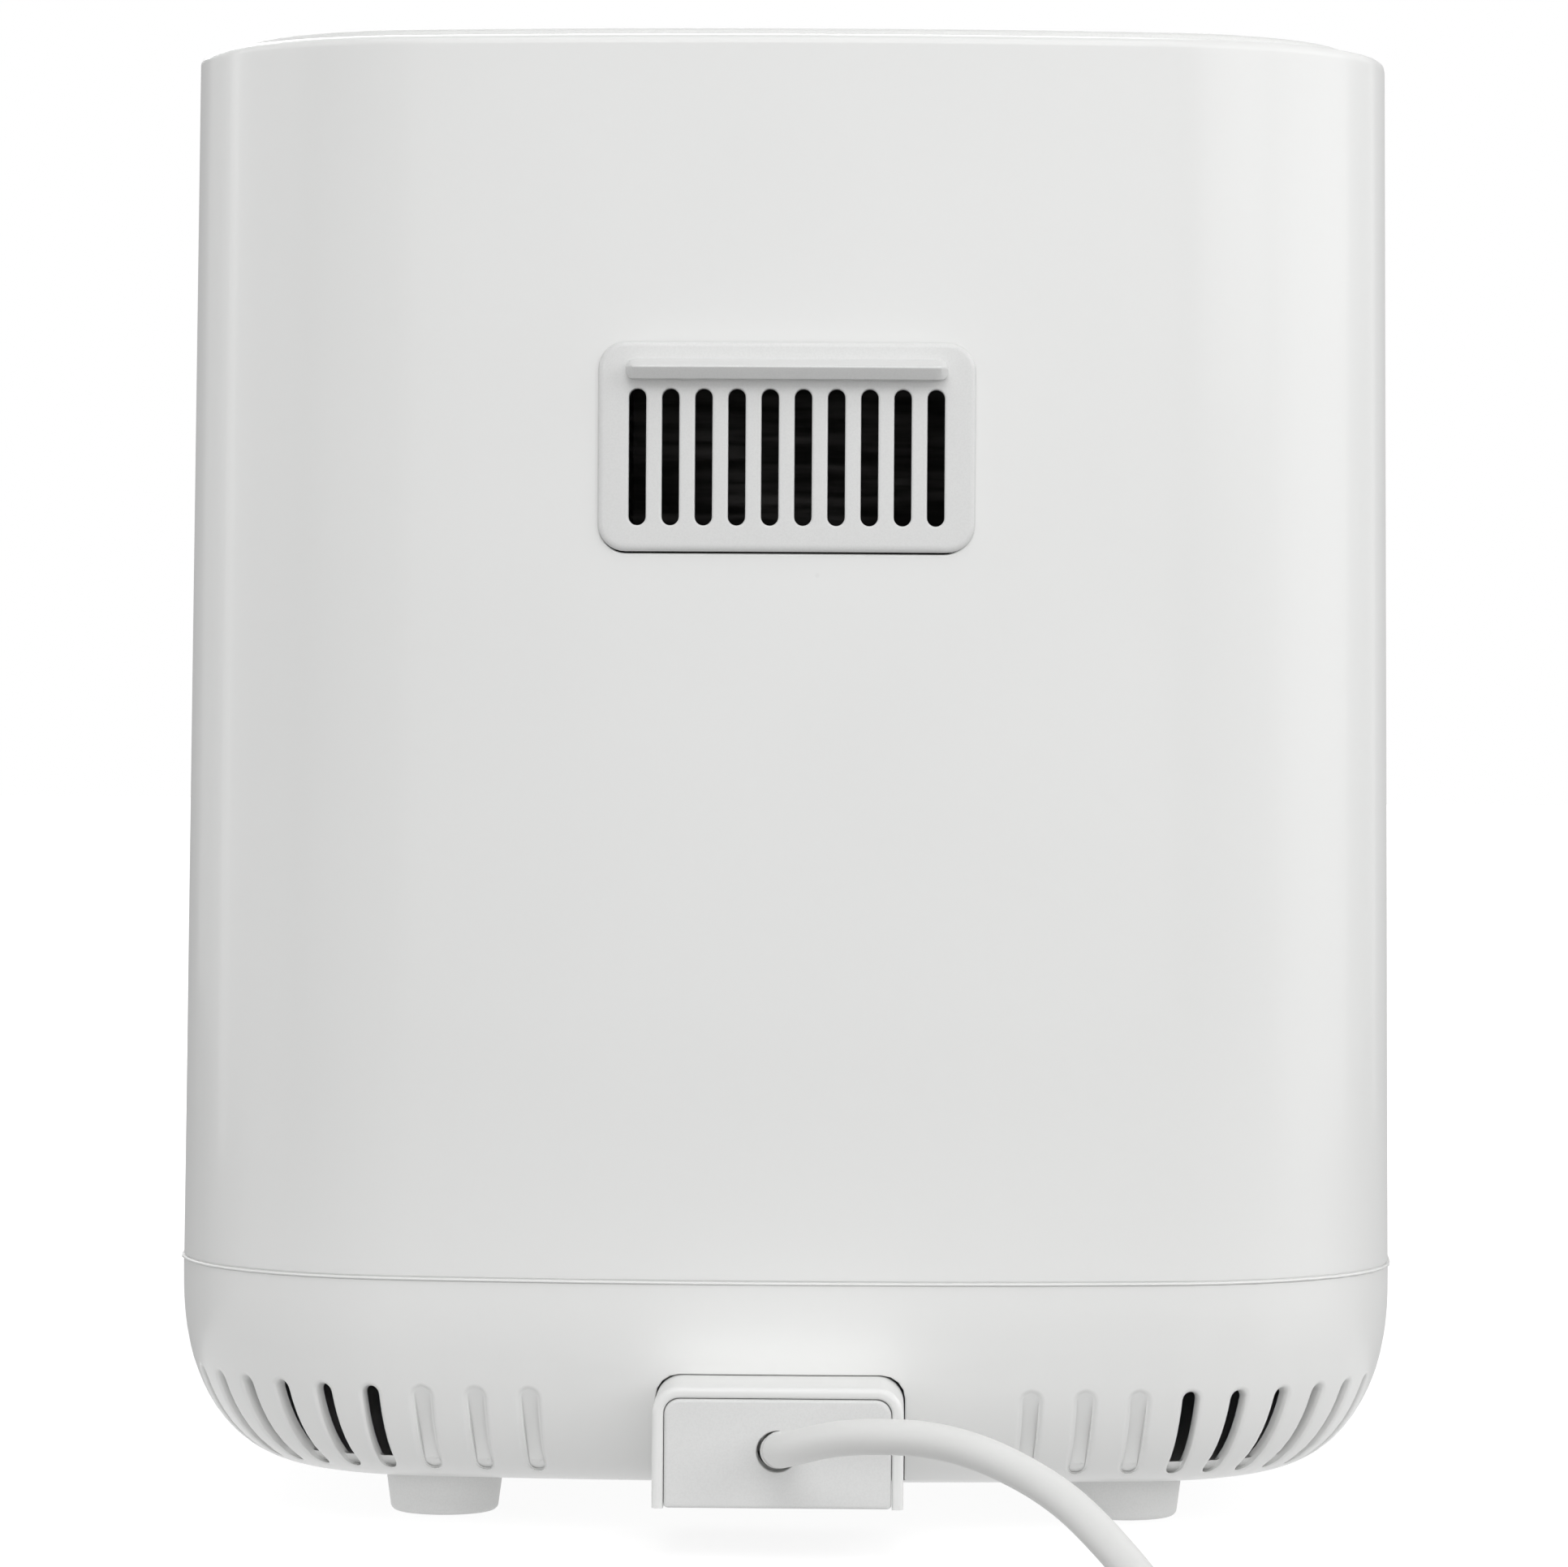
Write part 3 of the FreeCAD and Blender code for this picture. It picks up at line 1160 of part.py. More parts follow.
def handle_bracket():
    low = HANDLE_Z - BRACKET_T
    return bracket_slot(0).cut([
        rod(0, y, low, SCREW_R + RUN, 2 * BRACKET_T, V(0, 0, 1)) for y in handle_screw_places()])


# Route of the free cord from its outlet to its coil: across, out from the outlet, and height
LEAD_POINTS = [
    (0, 0, CORD_Z),
    (0, 18, 24.6),
    (-13, 35, 30.0),
    (-36, 45, 31.5),
    (-53, 59, 23.3),
    (-66, 78, 12.5),
    (-77, 102, 4.2),
    (-89, 131, 4.7),
    (-89, 152, 4.7),
]


def bent_route(points):
    """Straight runs joined by tangent arcs; also gives the arcs' radii."""
    edges, radii = [], []
    last = points[0]
    for before, here, after in zip(points, points[1:], points[2:]):
        a, b = (before - here), (after - here)
        cut = 0.45 * min(a.Length, b.Length)
        u, w = a.normalize(), b.normalize()
        half_turn = (math.pi - u.getAngle(w)) / 2
        radius = cut / math.tan(half_turn)
        start, end = here + u * cut, here + w * cut
        bisector = (u + w).normalize()
        crown = here + bisector * (radius / math.cos(half_turn) - radius)
        edges.append(Part.LineSegment(last, start).toShape())
        edges.append(Part.Arc(start, crown, end).toShape())
        radii.append(radius)
        last = end
    edges.append(Part.LineSegment(last, points[-1]).toShape())
    return edges, radii


def mains_lead():
    points = [V(x, EXIT_Y + y, z) for x, y, z in LEAD_POINTS]
    edges, radii = bent_route(points)
    print("lead bend radii", [round(r, 1) for r in radii])
    lead = tube(edges, CORD_R)
    length = sum(e.Length for e in edges)
    print("lead length %.1f, volume over section %.1f" % (length, lead.Volume / (math.pi * CORD_R**2)))
    return lead


def coil_point(turn):
    """Centre of the coiled cord after a number of turns: in on the lower layer, out on the upper."""
    middle = COIL_TURNS / 2
    r = COIL_R - COIL_PITCH * min(turn, COIL_TURNS - turn)
    climb = min(max((turn - middle) * 2 + 0.5, 0), 1)
    z = CORD_R + COIL_LIFT + COIL_PITCH * climb * climb * (3 - 2 * climb)
    a = 2 * math.pi * turn
    return V(COIL_X + r * math.cos(a), EXIT_Y + COIL_Y + r * math.sin(a), z)


def biarc(p, t, q, u):
    """Two tangent arcs from p along t to q along u."""
    v, s = q - p, t + u
    k = 2 * (1 - t.dot(u))
    d = v.dot(v) / (2 * v.dot(s))
    if k > 1e-6:
        d = (math.sqrt(v.dot(s) ** 2 + k * v.dot(v)) - v.dot(s)) / k
    joint = (p + t * d + q - u * d) * 0.5
    return [arc_from(p, t, joint), arc_from(q, u * -1, joint)]


def arc_from(p, t, q):
    """The arc from p along t to q."""
    chord = q - p
    along = V(chord).normalize()
    side = (t - along * t.dot(along)).normalize()
    bulge = chord.Length / 2 * math.tan(t.getAngle(along) / 2)
    return Part.Arc(p, p + chord * 0.5 + side * bulge, q).toShape()


def coil_route():
    """Waypoints every quarter turn with their directions, and the end of the run to the plug."""
    quarters = int(4 * COIL_TURNS)
    step = 1e-4
    places = [coil_point(i / 4) for i in range(quarters + 1)]
    ways = [(coil_point(i / 4 + step) - coil_point(i / 4 - step)).normalize() for i in range(quarters + 1)]
    ways[0], ways[-1] = V(0, 1, 0), V(0, -1, 0)
    plug = V(places[-1].x, places[-1].y - PLUG_RUN, PLUG_R)
    return places + [plug], ways + [V(0, -1, 0)]


def mains_coil():
    places, ways = coil_route()
    edges = [Part.LineSegment(places[0] - ways[0] * PLUG_STUB, places[0]).toShape()]
    for p, t, q, u in zip(places, ways, places[1:], ways[1:]):
        first, second = biarc(p, t, q, u)
        edges += [first, second]
    edges.append(Part.LineSegment(places[-1], plug_start()).toShape())
    edges = Part.__sortEdges__(edges)
    wound = tube(edges, CORD_R)
    length = sum(e.Length for e in edges)
    print("coil length %.1f, volume over section %.1f" % (length, wound.Volume / (math.pi * CORD_R**2)))
    print("coil least gap to itself %.2f" % coil_gap(edges))
    return wound


def coil_gap(edges):
    """The least space between stretches of the coil that are more than a quarter turn apart."""
    points = []
    for e in edges:
        points += e.discretize(Distance=CORD_R / 2)[:-1]
    apart = int(math.pi / 2 * COIL_R / (CORD_R / 2) / 2)
    least = min(
        (points[i] - points[j]).Length
        for i in range(len(points)) for j in range(i + 2 * apart, len(points)))
    return least - 2 * CORD_R


def cord_tie():
    """A strap round the bundle of turns, a quarter turn on from where the cord enters."""
    inner, outer = coil_point(1.25), coil_point(0.25)
    w = outer.y - inner.y + 2 * CORD_R + 2 * TIE_GAP
    h = COIL_PITCH + 2 * CORD_R + 2 * FIT
    strap = rounded_face(w + 2 * TIE_T, h + 2 * TIE_T, CORD_R + TIE_T).extrude(V(0, 0, TIE_W))
    strap = strap.cut(rounded_face(w, h, CORD_R).extrude(V(0, 0, TIE_W)))
    strap.translate(V(0, 0, -TIE_W / 2))
    strap.rotate(V(), V(1, 0, 0), 90)
    strap.rotate(V(), V(0, 0, 1), 90)
    z = CORD_R + COIL_LIFT + COIL_PITCH / 2
    return strap.translated(V(COIL_X, (inner.y + outer.y) / 2, z))


def plug_start():
    """Where the cord enters the plug; the plug points towards the front."""
    places, ways = coil_route()
    return places[-1] + ways[-1] * PLUG_STUB


def plug_body():
    grip = PLUG_TAIL + PLUG_BODY
    body = turned([
        (0, 0), (PLUG_TAIL_R0, 0), (PLUG_TAIL_R1, PLUG_TAIL), (PLUG_NECK_R, PLUG_TAIL),
        (PLUG_FLARE_R, PLUG_TAIL + PLUG_BODY / 2), (PLUG_R, PLUG_TAIL + 3 * PLUG_BODY / 4), (PLUG_R, grip),
        (PLUG_FACE_R, grip), (PLUG_FACE_R, grip + PLUG_FRONT), (0, grip + PLUG_FRONT)])
    holes = [rod(0, s * PIN_X, grip, PIN_R + RUN, 2 * PLUG_FRONT, V(0, 0, 1)) for s in (-1, 1)]
    start = plug_start()
    return facing_front(body.cut(holes), start.x, start.y, start.z)


def plug_pins():
    grip = PLUG_TAIL + PLUG_BODY
    long = PLUG_FRONT + PIN_L
    start = plug_start()
    pins = []
    for s in (-1, 1):
        pin = turned([
            (0, grip), (PIN_R, grip), (PIN_R, grip + long - PIN_R / 2), (PIN_R / 2, grip + long),
            (0, grip + long)])
        pins.append(facing_front(pin.translated(V(0, s * PIN_X, 0)), start.x, start.y, start.z))
    return Part.makeCompound(pins)


NODES = {
    "outer_housing": outer_housing,
    "top_cover": top_cover,
    "base_shell": base_shell,
    "housing_screws": housing_screws,
    "feet": feet,
    "foot_pads": foot_pads,
    "exhaust_grille": exhaust_grille,
    "exhaust_duct": exhaust_duct,
    "cord_block_frame": cord_block_frame,
    "cord_block_plate": cord_block_plate,
    "cord_clamp": cord_clamp,
    "cord_clamp_screws": cord_clamp_screws,
    "inner_lead": inner_lead,
    "terminal_block": terminal_block,
    "chamber_supports": chamber_supports,
    "inner_chamber": inner_chamber,
    "front_bezel": front_bezel,
    "runner_rails": runner_rails,
    "heat_reflector": heat_reflector,
    "heating_element": heating_element,
    "heater_brackets": heater_brackets,
    "motor_bridge": motor_bridge,
    "motor_spacers": motor_spacers,
    "motor_stator": motor_stator,
    "motor_coil": motor_coil,
    "motor_yoke": motor_yoke,
    "motor_bearings": motor_bearings,
    "motor_shaft": motor_shaft,
    "motor_rotor": motor_rotor,
    "convection_fan": convection_fan,
    "cooling_fan": cooling_fan,
    "fan_nut": fan_nut,
    "control_fascia": control_fascia,
    "indicator_lenses": indicator_lenses,
    "timer_unit": timer_unit,
    "thermostat_unit": thermostat_unit,
    "drawer_switch": drawer_switch,
    "timer_knob": lambda: knob_body(KNOB_X),
    "timer_knob_ring": lambda: knob_ring(KNOB_X),
    "timer_stem": lambda: knob_stem(KNOB_X),
    "thermostat_knob": lambda: knob_body(-KNOB_X),
    "thermostat_knob_ring": lambda: knob_ring(-KNOB_X),
    "thermostat_stem": lambda: knob_stem(-KNOB_X),
    "drawer_front": drawer_front,
    "drawer_backplate": drawer_backplate,
    "drawer_seal": drawer_seal,
    "frying_pan": frying_pan,
    "handle_bracket": handle_bracket,
    "handle_upper": lambda: handle_half(True),
    "handle_lower": lambda: handle_half(False),
    "handle_screws": handle_screws,
    "crisper_plate": crisper_plate,
    "crisper_feet": crisper_feet,
    "mains_lead": mains_lead,
    "mains_coil": mains_coil,
    "cord_tie": cord_tie,
    "plug_body": plug_body,
    "plug_pins": plug_pins,
}

os.makedirs("parts", exist_ok=True)
for node, make in NODES.items():
    make().exportStep("parts/%s.step" % node)
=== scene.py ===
"""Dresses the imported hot-air fryer: smooth shells, cord, controls, finishes, light and camera."""

import math

import bmesh
import bpy
import numpy as np
from mathutils import Matrix, Vector


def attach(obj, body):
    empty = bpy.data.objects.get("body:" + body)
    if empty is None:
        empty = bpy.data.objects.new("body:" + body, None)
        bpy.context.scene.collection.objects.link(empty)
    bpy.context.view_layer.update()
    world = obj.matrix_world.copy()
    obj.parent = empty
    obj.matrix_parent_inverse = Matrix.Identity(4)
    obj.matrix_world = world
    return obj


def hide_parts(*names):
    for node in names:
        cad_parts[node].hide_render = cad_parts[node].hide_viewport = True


bl_info = {
    "name": "Hot-air fryer",
    "version": (1, 0, 0),
    "blender": (4, 5, 0),
    "location": "View3D > Sidebar > Fryer",
    "description": "Builds the visible surfaces of a hot-air fryer on its packed frame",
    "category": "Object",
}

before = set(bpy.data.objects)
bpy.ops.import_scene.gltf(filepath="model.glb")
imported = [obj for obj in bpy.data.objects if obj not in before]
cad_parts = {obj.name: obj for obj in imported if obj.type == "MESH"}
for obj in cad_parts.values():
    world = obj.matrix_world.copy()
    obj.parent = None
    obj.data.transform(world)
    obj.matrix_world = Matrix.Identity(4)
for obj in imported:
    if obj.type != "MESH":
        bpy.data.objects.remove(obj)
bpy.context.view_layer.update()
# Points closer than this are one point.
WELD = 2e-6
# Every finish by its name, filled by main.
FINISHES = {}


def number(name, description, value, **more):
    """A setting that holds one number."""
    return bpy.props.FloatProperty(name=name, description=description, default=value, **more)


def length(name, description, value):
    """A size in metres."""
    return number(name, description, value, unit="LENGTH", precision=4)


def share(name, description, value):
    """A part of one."""
    return number(name, description, value, min=0.0, max=1.0, subtype="FACTOR")


def three(name, description, value, **more):
    """A setting that holds three numbers."""
    return bpy.props.FloatVectorProperty(name=name, description=description, default=value, size=3, **more)


def colour(name, description, value):
    """A colour in linear light."""
    return three(name, description, value, subtype="COLOR", min=0.0, max=1.0)


def point(name, description, value):
    """A place in the frame."""
    return three(name, description, value, subtype="TRANSLATION", unit="LENGTH")


class FryerSizes(bpy.types.PropertyGroup):
    """Sizes of the body, in metres."""

    width: length("Width", "Widest, across the seam", 0.2664)
    depth: length("Depth", "Front to rear, at the seam", 0.290)
    mid_y: length("Middle", "Middle of the depth", 0.0175)
    rim: length("Rim", "Height of the housing's rim", 0.315)
    seam: length("Seam", "Height at which housing and base meet", 0.055)
    under: length("Underside", "Height of the flat underside", 0.0105)
    taper: length("Taper", "How far each side is drawn in at the rim", 0.0025)
    corner: length("Corner radius", "Upright corners, in plan", 0.058)
    end_bow: length("End bow", "Radius of front and rear, in plan", 0.570)
    side_bow: length("Side bow", "Radius of the sides, in plan", 1.5)
    wall: length("Wall", "Thickness of the moulded shells", 0.0025)
    lip: length("Bead", "How far the bead stands out at the seam", 0.0005)
    rim_round: length("Rim rounding", "Radius of the upper edge", 0.0022)
    edge_in: length("Base edge", "How far the base draws in", 0.0315)
    edge_full: number("Base fullness", "Fullness of that curve, 2 is an ellipse", 2.3)
    base_rim: length("Base rim", "Straight edge of the base under the seam", 0.0035)
    cord: length("Cord", "Diameter of the mains lead", 0.0072)


class FryerFinish(bpy.types.PropertyGroup):
    """Colours of the finishes."""

    gloss: colour("Gloss white", "Glossy mouldings", (0.775, 0.778, 0.770))
    satin: colour("Satin white", "Outlet and cord plate", (0.700, 0.703, 0.698))
    grain: colour("Grained white", "Top cover", (0.720, 0.723, 0.716))
    foot: colour("Foot white", "Feet", (0.790, 0.793, 0.786))
    sheath: colour("Cord sheath", "Cord and plug", (0.760, 0.762, 0.752))
    fascia: colour("Fascia", "Control panel and lower grip", (0.34, 0.345, 0.355))
    dark: colour("Dark plastic", "Inner mouldings", (0.022, 0.022, 0.024))
    coating: colour("Coating", "Pan and crisper plate", (0.026, 0.026, 0.029))


class FryerStage(bpy.types.PropertyGroup):
    """Camera and light."""

    eye: point("Camera", "Place of the camera", (-0.0223, 1.45, 0.1775))
    aim: point("Aim", "Point in the middle of the picture", (0.0023, 0.0175, 0.1572))
    lens: number("Lens", "Focal length on a 36 mm sensor", 142.53, unit="CAMERA")
    roll: number("Roll", "Lean of the camera", math.radians(0.334), subtype="ANGLE")
    ambient: share("Ambient", "Light from all round", 0.20)
    bounce: share("Floor light", "Light that the floor sheds upwards", 0.47)


class Plan:
    """Outline of the body: two end bows, two side bows and four corner arcs, each tangent to the next."""

    def __init__(self, k):
        end = np.array([0.0, k.depth / 2 - k.end_bow])
        side = np.array([k.width / 2 - k.side_bow, 0.0])
        reach_end, reach_side = k.end_bow - k.corner, k.side_bow - k.corner
        apart = side - end
        d = np.hypot(*apart)
        along = (reach_end**2 - reach_side**2 + d**2) / (2 * d)
        off = math.sqrt(reach_end**2 - along**2)
        u = apart / d
        corner = end + u * along + np.array([u[1], -u[0]]) * off
        to_corner = math.atan2(corner[0], corner[1] - end[1])
        to_side = math.atan2(corner[0] - side[0], corner[1])
        self.centre = np.array([end, corner, side])
        self.radius = np.array([k.end_bow, k.corner, k.side_bow])
        self.turn = np.array([0.0, to_corner, to_side])
        spans = self.radius * np.diff(np.append(self.turn, math.pi / 2))
        self.start = np.concatenate([[0.0], np.cumsum(spans)[:2]])
        self.quarter = spans.sum()
        self.k = k

    def arc(self, s):
        """Which arc of a quarter holds s: end bow, corner or side bow."""
        return np.clip(np.searchsorted(self.start, s, side="right") - 1, 0, 2)

    def at(self, s, inset):
        """A point s along the outline from the middle of the rear towards +X, drawn in by inset.
        The four quarters are one quarter mirrored, in which the arc that holds s gives centre plus
        radius times direction."""
        q = self.quarter
        s = np.mod(s, 4 * q)
        turn = s / q
        fold = np.select([turn < 1, turn < 2, turn < 3], [s, 2 * q - s, s - 2 * q], 4 * q - s)
        i = self.arc(fold)
        a = self.turn[i] + (fold - self.start[i]) / self.radius[i]
        r = self.radius[i] - inset
        x = np.where(turn < 2, 1, -1) * (self.centre[i, 0] + r * np.sin(a))
        y = np.where((turn < 1) | (turn >= 3), 1, -1) * (self.centre[i, 1] + r * np.cos(a))
        return x, self.k.mid_y + y

    def along(self, x, inset):
        """How far along the outline the rear has that x, when it is drawn in by inset."""
        far = np.abs(x)
        a = np.arcsin(np.clip(far / (self.radius[0] - inset), -1, 1))
        b = np.arcsin(np.clip((far - self.centre[1, 0]) / (self.radius[1] - inset), -1, 1))
        on_corner = self.start[1] + self.radius[1] * (b - self.turn[1])
        return np.sign(x) * np.where(a < self.turn[1], self.radius[0] * a, on_corner)

    def bend(self, s):
        """Radius of the outline at s, for s within a quarter of the rear."""
        return self.radius[self.arc(abs(s))]

    def level(self, s, z, inset):
        """Points of the outline at a height, drawn in by inset."""
        return np.stack(np.broadcast_arrays(*self.at(s, inset), z), -1)

    def lean(self, z):
        """How far the tapering housing stands in at a height."""
        k = self.k
        return k.taper * (z - k.seam) / (k.rim - k.seam)

    def skin(self, s, z, deep):
        """Points of the housing, deep inside its outer face."""
        return self.level(s, z, self.lean(z) + deep)

    def rear(self, x, z, deep):
        """Points of the housing's bowed rear at x, deep inside its outer face."""
        return self.skin(self.along(x, self.lean(z) + deep), z, deep)

    def front(self, x, z, deep):
        """Points of the housing's bowed front at x, deep inside its outer face."""
        return self.skin(2 * self.quarter - self.along(x, self.lean(z) + deep), z, deep)

    def base_inset(self, z, shrink):
        """How far the base stands in at a height: a quarter of a full ellipse under a straight rim."""
        k = self.k
        top = k.seam - k.base_rim
        down = np.clip((top - z) / (top - k.under - shrink), 0, 1)
        return k.edge_in - (k.edge_in - shrink) * (1 - down**k.edge_full) ** (1 / k.edge_full)

    def base(self, s, z, deep, shrink=0.0):
        """Points of the base, deep inside its face, level."""
        return self.level(s, z, self.base_inset(z, shrink) + deep)


def mm(*values):
    """Millimetres as metres."""
    return np.array(values) / 1000


def quarter_round(x, z, wide, high, steps):
    """A quarter of an ellipse round x and z, from its side to its end."""
    a = np.linspace(0, math.pi / 2, steps)
    return np.stack([x + wide * np.cos(a), z + high * np.sin(a)], 1)


def eased(t):
    """A smooth start and stop between nought and one."""
    return t * t * (3 - 2 * t)


def raised(ring, z):
    """A ring's points with one more measure, the same for all."""
    return np.column_stack([ring, np.full(len(ring), z)])


def stood(ring, y):
    """The points of an upright ring, given as x and height, at one depth."""
    return raised(ring, y)[:, [0, 2, 1]]


def shut(ring):
    """A ring's points all moved to its middle, to close a surface."""
    return np.broadcast_to(ring.mean(0), ring.shape)


def drawn_in(ring, middle, parts):
    """Rows of a ring drawn in to a point, by parts of its size."""
    middle = np.array(middle)
    return middle + np.array(parts)[:, None, None] * (ring - middle)


def ring_rect(s, z):
    """Points round a rectangle from its lower left corner: along the bottom, up, back and down."""
    return np.concatenate([
        raised(s[:-1, None], z[0]), raised(z[:-1, None], s[-1])[:, ::-1],
        raised(s[:0:-1, None], z[-1]), raised(z[:0:-1, None], s[0])[:, ::-1]])


def ring_round(centre, size, radii, k, m):
    """Points round a rectangle with round corners, in the order of ring_rect. Each side is half a corner arc,
    a straight run and half an arc: k steps in a half arc, m in the runs along the width and the height.
    radii are those of the lower and the upper corners."""
    a, b = size[0] / 2, size[1] / 2
    low, high = radii
    corners = [(low - a, low - b, low), (a - low, low - b, low)]
    corners += [(a - high, b - high, high), (high - a, b - high, high)]
    t = np.arange(k) / k * math.pi / 4
    parts = []
    for side in range(4):
        (x0, y0, r0), (x1, y1, r1) = corners[side], corners[(side + 1) % 4]
        begin = math.radians(225 + 90 * side)
        square = begin + math.pi / 4
        way = np.array([math.cos(square), math.sin(square)])
        p, q = np.array([x0, y0]) + r0 * way, np.array([x1, y1]) + r1 * way
        n = m[side % 2]
        parts.append(np.stack([x0 + r0 * np.cos(begin + t), y0 + r0 * np.sin(begin + t)], 1))
        parts.append(p + (q - p) * (np.arange(n) / max(n, 1))[:, None])
        parts.append(np.stack([x1 + r1 * np.cos(square + t), y1 + r1 * np.sin(square + t)], 1))
    return np.concatenate(parts) + np.array(centre)


def ring_even(centre, size, radius, grow, k, m):
    """A ring_round with four equal corners, grown all round."""
    return ring_round(centre, (size[0] + 2 * grow, size[1] + 2 * grow), (radius + grow,) * 2, k, m)


def half_arch(half, low, top, radius, rise, turn):
    """The left half of an arch, as x and height: rise steps up its leg and turn steps round its corner."""
    leg = np.linspace(low, top - radius, rise + 1)[:-1, None]
    bend = quarter_round(radius - half, top - radius, -radius, radius, turn + 1)
    return np.concatenate([raised(leg, -half)[:, ::-1], bend])


def sheet(points, wrap=False):
    """A grid of points in rows, and its four-sided faces; wrap joins the last column to the first."""
    points = np.asarray(points, float)
    rows, cols = points.shape[:2]
    ids = np.arange(rows * cols).reshape(rows, cols)
    if wrap:
        ids = np.hstack([ids, ids[:, :1]])
    quads = np.stack([ids[:-1, :-1], ids[:-1, 1:], ids[1:, 1:], ids[1:, :-1]], -1).reshape(-1, 4)
    return points.reshape(-1, 3), quads


def lathe(profile, steps):
    """A profile of radius and height carried round Z."""
    profile = np.asarray(profile, float)
    a = np.arange(steps) * 2 * math.pi / steps
    r, h = profile[:, :1], profile[:, 1:]
    return sheet(np.stack(np.broadcast_arrays(r * np.cos(a), r * np.sin(a), h), -1), True)


def placed(patch, move, axis=None):
    """A patch moved, and first turned so that its Z points along axis."""
    points, quads = patch
    if axis is not None:
        turn = np.array(Vector((0, 0, 1)).rotation_difference(Vector(axis)).to_matrix())
        points = points @ turn.T
    return points + np.asarray(move, float), quads


def smoothed(mesh, crease):
    """A mesh with smooth shading, sharp where faces turn by more than crease degrees."""
    mesh.shade_smooth()
    mesh.set_sharp_from_angle(angle=math.radians(crease))
    return mesh


def mesh_of(name, patches, crease):
    """Patches welded where their points meet; a face that lost a corner becomes a triangle."""
    counts = np.cumsum([0] + [len(p) for p, _ in patches])
    points = np.concatenate([p for p, _ in patches])
    quads = np.concatenate([q + c for (_, q), c in zip(patches, counts)])
    cells = np.round(points / WELD).astype(np.int64)
    _, first, back = np.unique(cells, axis=0, return_index=True, return_inverse=True)
    quads = back.reshape(-1)[quads]
    same = quads == np.roll(quads, -1, 1)
    lost = same.sum(1)
    crossed = (quads[:, 0] == quads[:, 2]) | (quads[:, 1] == quads[:, 3])
    whole, cut = (lost == 0) & ~crossed, (lost == 1) & ~crossed
    faces = quads[whole].tolist() + quads[cut][~same[cut]].reshape(-1, 3).tolist()
    mesh = bpy.data.meshes.new(name)
    mesh.from_pydata(points[first].tolist(), [], faces)
    work = bmesh.new()
    work.from_mesh(mesh)
    bmesh.ops.recalc_face_normals(work, faces=work.faces)
    work.to_mesh(mesh)
    work.free()
    return smoothed(mesh, crease)


def piece(name, patches, body, key, nodes=(), crease=38):
    """A new piece on a body, in place of CAD nodes."""
    return dressed(bpy.data.objects.new(name, mesh_of(name, patches, crease)), body, key, nodes)


def dressed(obj, body, key, nodes=()):
    """Gives an object its finish in its material slot, and its body, and hides the CAD nodes it stands for.
    """
    bpy.context.scene.collection.objects.link(obj)
    obj.data.materials.append(FINISHES[key])
    if obj.type == "MESH":
        even = obj.modifiers.new("Even normals", "WEIGHTED_NORMAL")
        even.keep_sharp = True
    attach(obj, body)
    if nodes:
        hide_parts(*nodes)
    return obj


def merged_copy(node, body, key):
    """A CAD node's own shape, its loose triangles joined and smoothed, in place of the node."""
    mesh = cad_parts[node].data.copy()
    mesh.materials.clear()
    work = bmesh.new()
    work.from_mesh(mesh)
    bmesh.ops.remove_doubles(work, verts=work.verts, dist=WELD)
    work.to_mesh(mesh)
    work.free()
    if "custom_normal" in mesh.attributes:
        mesh.attributes.remove(mesh.attributes["custom_normal"])
    dressed(bpy.data.objects.new(node + "_shown", smoothed(mesh, 30)), body, key, [node])


def copies(body, finishes):
    """Merged copies of CAD nodes that keep their shape: each node with its finish."""
    for node, key in finishes.items():
        merged_copy(node, body, key)


def feed(tree, socket, value):
    """Sets a socket to a plain value, or links an output to it."""
    if isinstance(value, bpy.types.NodeSocket):
        tree.links.new(value, socket)
    else:
        socket.default_value = value


def group(name, inputs, outputs):
    """An empty shader group with float inputs and outputs, its ends and the place on the surface."""
    tree = bpy.data.node_groups.new(name, "ShaderNodeTree")
    for label, value in inputs.items():
        tree.interface.new_socket(label, in_out="INPUT", socket_type="NodeSocketFloat").default_value = value
    for label in outputs:
        tree.interface.new_socket(label, in_out="OUTPUT", socket_type="NodeSocketFloat")
    given, out = tree.nodes.new("NodeGroupInput"), tree.nodes.new("NodeGroupOutput")
    return tree, given.outputs, out.inputs, object_place(tree)


def object_place(tree):
    """The place on the surface, in metres."""
    return tree.nodes.new("ShaderNodeTexCoord").outputs["Object"]


def noise(tree, scale, detail, vector):
    """Fractal noise at a vector."""
    node = tree.nodes.new("ShaderNodeTexNoise")
    for label, value in (("Detail", detail), ("Roughness", 0.55), ("Scale", scale), ("Vector", vector)):
        feed(tree, node.inputs[label], value)
    return node.outputs["Fac"]


def ramp(tree, value, low, high, out_low=0.0, out_high=1.0):
    """Carries a value from one span to another, smoothly and clamped."""
    node = tree.nodes.new("ShaderNodeMapRange")
    node.interpolation_type = "SMOOTHSTEP"
    spans = {"From Min": low, "From Max": high, "To Min": out_low, "To Max": out_high, "Value": value}
    for label, given in spans.items():
        feed(tree, node.inputs[label], given)
    return node.outputs["Result"]


def sums(tree, operation, a, b, kind="ShaderNodeMath"):
    """The outputs of an operation on two values."""
    node = tree.nodes.new(kind)
    node.operation = operation
    feed(tree, node.inputs[0], a)
    feed(tree, node.inputs[1], b)
    return node.outputs


def vectors(tree, operation, a, b):
    """The outputs of an operation on two vectors."""
    return sums(tree, operation, a, b, "ShaderNodeVectorMath")


def joined(tree, given, labels):
    """Three group inputs as one vector."""
    node = tree.nodes.new("ShaderNodeCombineXYZ")
    for socket, label in zip(node.inputs, labels):
        tree.links.new(given[label], socket)
    return node.outputs[0]


